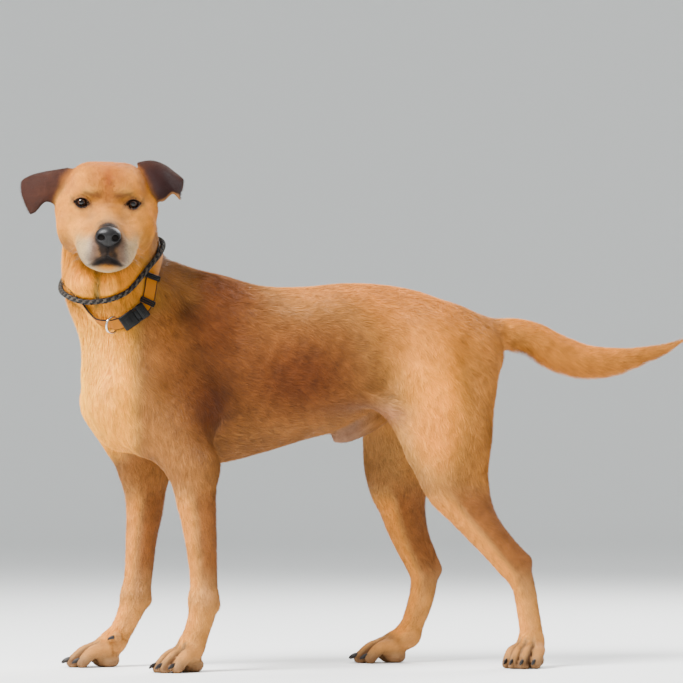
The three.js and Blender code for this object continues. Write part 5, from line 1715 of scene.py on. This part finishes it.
def coat_sizes(p):
    """Length, width and number of tufts per square millimetre at points of the skin."""
    near = parts_at(p, 40.0)
    x, _, z = p.T
    q = HEAD.local(p)
    length, width, many = np.full(len(p), 9.5), np.full(len(p), 1.05), np.full(len(p), 0.27)

    def change(weight, *sizes):
        for values, new in zip((length, width, many), sizes):
            values += np.clip(weight, 0, 1) * (new - values)

    change(smoothstep(14, 0, near["neck"]) * smoothstep(500, 560, z), 13.0, 1.15, 0.3)
    change(smoothstep(-300, -340, x) * smoothstep(300, 340, z) * smoothstep(560, 500, z), 13.0, 1.15, 0.28)
    change(smoothstep(150, 215, x) * smoothstep(250, 330, z) * smoothstep(510, 470, z), 15.0, 1.15, 0.3)
    change(smoothstep(370, 330, z) * smoothstep(-260, -220, x) * smoothstep(120, 60, x), 11.0, 1.05, 0.27)
    for name in LEGS:
        on = smoothstep(12, 2, np.minimum(near[name], near[f"paw_{name}"]))
        change(on * smoothstep(300, 220, z), 6.5, 0.85, 0.36)
        change(smoothstep(10, 0, near[f"paw_{name}"]) * smoothstep(56, 34, z), 4.0, 0.7, 0.5)
    change(smoothstep(12, 0, near["sheath"]) * smoothstep(80, 40, x), 6.0, 0.8, 0.3)
    tail = smoothstep(12, 0, near["tail"]) * smoothstep(240, 270, x)
    height, _ = tail_at(x)
    change(tail, 10.0, 0.95, 0.5)
    change(tail * smoothstep(2, -12, z - height) * smoothstep(290, 330, x), 20.0, 1.05, 0.6)
    head = smoothstep(12, 2, near["head"]) * smoothstep(-110, -70, q[:, 0])
    change(head, 6.0, 0.62, 0.62)
    change(head * smoothstep(-20, 40, q[:, 0]), 3.4, 0.5, 0.95)
    for name in EARS:
        change(smoothstep(6, 4, ear_place(name, p)[0]), 3.2, 0.5, 0.85)
    many *= smoothstep(13, 16, from_nose(q))
    for s in (LEFT, RIGHT):
        many *= np.where(q[:, 0] > -24, smoothstep(1.2, 3.2, almond(q, s)), 1)
    return length, width, many


# For each part of the body that unwraps round one axis: a point on the axis, its way, its start and its end.
UNWRAP_AXES = {
    "trunk": ((0, 0, 470), (1, 0, 0), -420, 270),
    "rump": ((0, 0, 470), (1, 0, 0), -420, 270),
    "neck": ((-330, -10, 560), (-0.4, -0.3, 0.86), -160, 160),
    "head": (HEAD_AT, HEAD.axes[:, 0], -150, 130),
    "tail": ((400, 0, 480), (1, 0, 0), -180, 150),
}


def turn_of(a, b):
    """Angles as a share of a full turn, from 0 to 1."""
    return np.arctan2(a, b) / (2 * math.pi) + 0.5


def unwrap(p, region):
    """Where points of the skin lie on the unwrap of its own shape: round and along each part of the body."""
    part = region.split("_")[0]
    if part in UNWRAP_AXES:
        centre, axis, start, end = UNWRAP_AXES[part]
        axis = unit(vec(axis))
        side = unit(np.cross(axis, (0.2, 0.1, 1) if abs(axis[2]) < 0.9 else (1, 0.1, 0)))
        q = p - vec(centre)
        turn = turn_of(q @ side, q @ np.cross(axis, side))
        along = np.clip((q @ axis - start) / (end - start), 0, 1)
        return np.stack([0.02 + 0.96 * turn, 0.01 + 0.98 * along], 1)
    uv = np.zeros((len(p), 2))
    along = 0.01 + 0.98 * np.clip(p[:, 2] / 520, 0, 1)
    for i, (name, leg) in enumerate(LEGS.items()):
        ours = ((p[:, 0] < -60) == name.startswith("fore")) & ((p[:, 1] < 0) == (leg["side"] == LEFT))
        shin = vec(leg["shin"])[::-1]
        x, y = (p[:, k] - np.interp(p[:, 2], shin[:, 2], shin[:, k]) for k in range(2))
        flat = np.stack([(i % 2 + 0.02 + 0.96 * turn_of(y, x)) / 2, along], 1)
        uv[ours] = flat[ours]
    return uv


def regions_of(p):
    """The name of the coat piece that each root belongs to."""
    x, _, z = p.T
    name = np.where(x < -120, "trunk_front", "trunk_back").astype(object)
    name[(x > 110) & (z > 300)] = "rump"
    name[(z < 320) & (x < -60)] = "forelegs"
    name[(z < 320) & (x >= 60)] = "hindlegs"
    name[(x > 236) & (z > 400)] = "tail"
    name[(z > 520) & (x < -250) & ((p - (-318, 0, 522)) @ vec((-0.62, 0, 0.78)) > 0)] = "neck"
    name[(z > 560) & (x < -290) & (HEAD.local(p)[:, 0] > -72)] = "head"
    return name


# A closed tuft: three points at its root and one at its tip.
BLADE = np.array([[0, 2, 1], [0, 1, 3], [1, 2, 3], [2, 0, 3]])
MOST_TUFTS = 49_500  # in one piece, which keeps it under 200,000 triangles


def scatter_roots(skin):
    """Random places on the skin, and for each its normal, the hair's lie, its colour, length and width."""
    points, faces = to_body(points_of(skin)), faces_of(skin)
    corner = points[faces]
    cross = np.cross(corner[:, 1] - corner[:, 0], corner[:, 2] - corner[:, 0])
    area = np.linalg.norm(cross, axis=1) / 2
    normal = np.zeros_like(points)
    for k, axis in product(range(3), range(3)):
        normal[:, axis] += np.bincount(faces[:, k], cross[:, axis], len(points))
    normal = unit(normal)
    tones = np.empty(len(points) * 4, np.float32)
    skin.data.color_attributes["coat_tone"].data.foreach_get("color", tones)
    flow = lie_of_coat(points, normal)
    length, width, many = coat_sizes(points)
    fields = np.column_stack([points, normal, flow, tones.reshape(-1, 4)[:, :3], length, width])
    count = rng.poisson(area * many[faces].mean(1) * (corner[:, :, 2].max(1) > GROUND + 1.5))
    face = np.repeat(np.arange(len(faces)), count)
    r = rng.random((len(face), 2))
    r[r.sum(1) > 1] = 1 - r[r.sum(1) > 1]
    share = np.concatenate([r, 1 - r.sum(1, keepdims=True)], 1)
    at = (fields[faces[face]] * share[..., None]).sum(1)
    return at[:, 0:3], unit(at[:, 3:6]), at[:, 6:9], at[:, 9:12], at[:, 12], at[:, 13]


def build_coat(skin, band, cord):
    """Thin flat tufts over the whole skin, joined into one mesh for each region."""
    root, up, lie, colour, length, width = scatter_roots(skin)
    n = len(root)
    side = unit(np.cross(up, lie))
    swing = 0.10 * rng.normal(size=n) + 0.13 * ripple(root, 9, 21)
    lie = unit(lie + swing[:, None] * side)
    side = unit(np.cross(up, lie))
    tip = root + lie * (length * rng.uniform(0.72, 1.25, n))[:, None]
    on_ear = np.any([ear_place(name, root)[0] < 5 for name in EARS], 0)
    tip = tip + up * np.where(on_ear, 1.0, -body_at(root))[:, None] * 0.6
    # The tips come to the coat's surface, most of them a little under it. On the ears they lie flat.
    stray = np.clip(rng.normal(size=n), -1.5, 2.2)
    for most in (6, 2):
        lift = np.clip(-0.28 + 0.32 * stray - body_at(tip), -most, most)
        tip = tip + up * np.where(on_ear, 0.05 * stray, lift)[:, None]
    tip[:, 2] = np.maximum(tip[:, 2], GROUND + 0.3)
    half = (width * rng.uniform(0.8, 1.25, n) / 2)[:, None]
    base = root - 0.35 * up
    ridge = base + up * half * 0.8 + lie * half
    blade = np.stack([base - side * half, ridge, base + side * half, tip], 1)
    blade[..., 2] = np.maximum(blade[..., 2], GROUND + 0.3)
    keep = clear_of_collars(np.stack([base, (base + tip) / 2, tip], 1), band, cord)
    blade, root, colour = blade[keep], root[keep], colour[keep]
    shade = rng.normal(1.0, 0.12, len(root)) + 0.07 * ripple(root, 7, 31) + 0.04 * ripple(root, 17, 32)
    low, high = (colour * (shade * light)[:, None] for light in (0.8, 1.14))
    tones = np.stack([low, low, low, high], 1)
    where = regions_of(root)
    for region in sorted(set(where)):
        mine = np.flatnonzero(where == region)
        parts = math.ceil(len(mine) / MOST_TUFTS)
        if parts > 1:
            mine = mine[np.argsort(root[mine, 1])]
        for k, chosen in enumerate(np.array_split(mine, parts), 1):
            name = f"coat_{region}_{k}" if parts > 1 else f"coat_{region}"
            tuft_piece(name, blade[chosen], tones[chosen], unwrap(root[chosen], region))


def tuft_piece(name, blades, tones, uv):
    """Tufts as one piece. On its OFBake map each is a patch at its root's place on the unwrap."""
    n = len(blades)
    faces = (BLADE[None] + 4 * np.arange(n)[:, None, None]).reshape(-1, 3)
    piece = make_mesh(name, to_row(blades.reshape(-1, 3)), faces, smooth=False)
    paint_piece(piece, np.clip(tones.reshape(-1, 3), 0.002, 0.98))
    patch = 0.003 * vec(((-0.5, -0.5), (0.0, -0.2), (0.5, -0.5), (0.0, 0.5)))
    corners = (np.clip(uv, 0.002, 0.998)[:, None] + patch)[:, BLADE]
    layer = piece.data.uv_layers.new(name="OFBake")
    layer.data.foreach_set("uv", corners.astype(np.float32).ravel())
    own(piece, COAT_LOOK, "coat_tan")


# ---- Everything in its place --------------------------------------------------------------------------

LEG_PARTS = {"fore": ("upper_arm", "forearm", "paw"), "hind": ("thigh", "shank", "paw")}
FLESH = [
    "head", "neck", "trunk", "tail_base", "tail_tip", "sheath", "ear_left", "ear_right",
    *[f"{name}_{part}" for name in LEGS for part in LEG_PARTS[name[:4]]],
]


def stage():
    """A plain pale floor that bends up into a low wall all round, further out than any view is taken from."""
    flat, bend, high, sides = 9.0, 5.0, 9.0, 96
    turn = np.linspace(0, math.pi / 2, 16)
    curve = [(flat + bend * math.sin(a), bend * (1 - math.cos(a))) for a in turn]
    profile = [(0.0, 0.0), *curve, (flat + bend, high)]
    points = [(r * across, r * along, z) for r, z in profile for across, along in circle(1, sides)]
    floor = make_mesh("studio_floor", points, ring_quads(len(profile), sides, closed=False))
    look = material("studio_floor", None, Base_Color=rgba(240, 241, 239), Roughness=0.9)
    floor.data.materials.append(look)


VIEW_TURN = 15  # degrees from the dog's left side round to the camera, towards its head


def lights():
    """Three soft disks of light that stand by the camera's place, and a pale sky."""
    centre = vec((0.0, 0.05, 0.36))
    for name, turn, high, far, size, power in (
        ("key", -48, 46, 3.6, 1.7, 480), ("fill", 52, 34, 3.8, 2.2, 16), ("rim", 150, 44, 3.2, 2.0, 170),
    ):
        a, e = math.radians(turn - VIEW_TURN), math.radians(high)
        at = centre + far * vec((math.sin(a) * math.cos(e), -math.cos(a) * math.cos(e), math.sin(e)))
        data = bpy.data.lights.new(name, "AREA")
        data.shape, data.size, data.energy = "DISK", size, power
        lamp = bpy.data.objects.new(name, data)
        lamp.location = at
        lamp.rotation_euler = Vector(centre - at).to_track_quat("-Z", "Y").to_euler()
        bpy.context.scene.collection.objects.link(lamp)
    world = bpy.data.worlds.new("soft_sky")
    world.use_nodes = True
    world.node_tree.nodes["Background"].inputs["Color"].default_value = (0.94, 0.97, 1.0, 1.0)
    world.node_tree.nodes["Background"].inputs["Strength"].default_value = 0.74
    bpy.context.scene.world = world


def camera():
    """The photo's view, with a long lens."""
    data = bpy.data.cameras.new("camera")
    data.sensor_width, data.lens, data.clip_end = 36.0, 193.4, 50.0
    eye = bpy.data.objects.new("camera", data)
    at, target = vec((-1.4235, -5.3126, 0.30)) + SHIFT, vec((0, 0, 0.49)) + SHIFT
    eye.location = at
    eye.rotation_euler = Vector(target - at).to_track_quat("-Z", "Y").to_euler()
    bpy.context.scene.collection.objects.link(eye)
    bpy.context.scene.camera = eye


skin = join_ears(build_skin())
paint_piece(skin, markings_and_painted_light(to_body(points_of(skin))))
own(skin, SKIN_LOOK, "coat_tan", *FLESH)
build_coat(skin, *build_collars())
build_eye(LEFT)
build_eye(RIGHT)
build_nose()
build_whiskers()
build_claws()
stage()
lights()
camera()
bpy.context.view_layer.update()
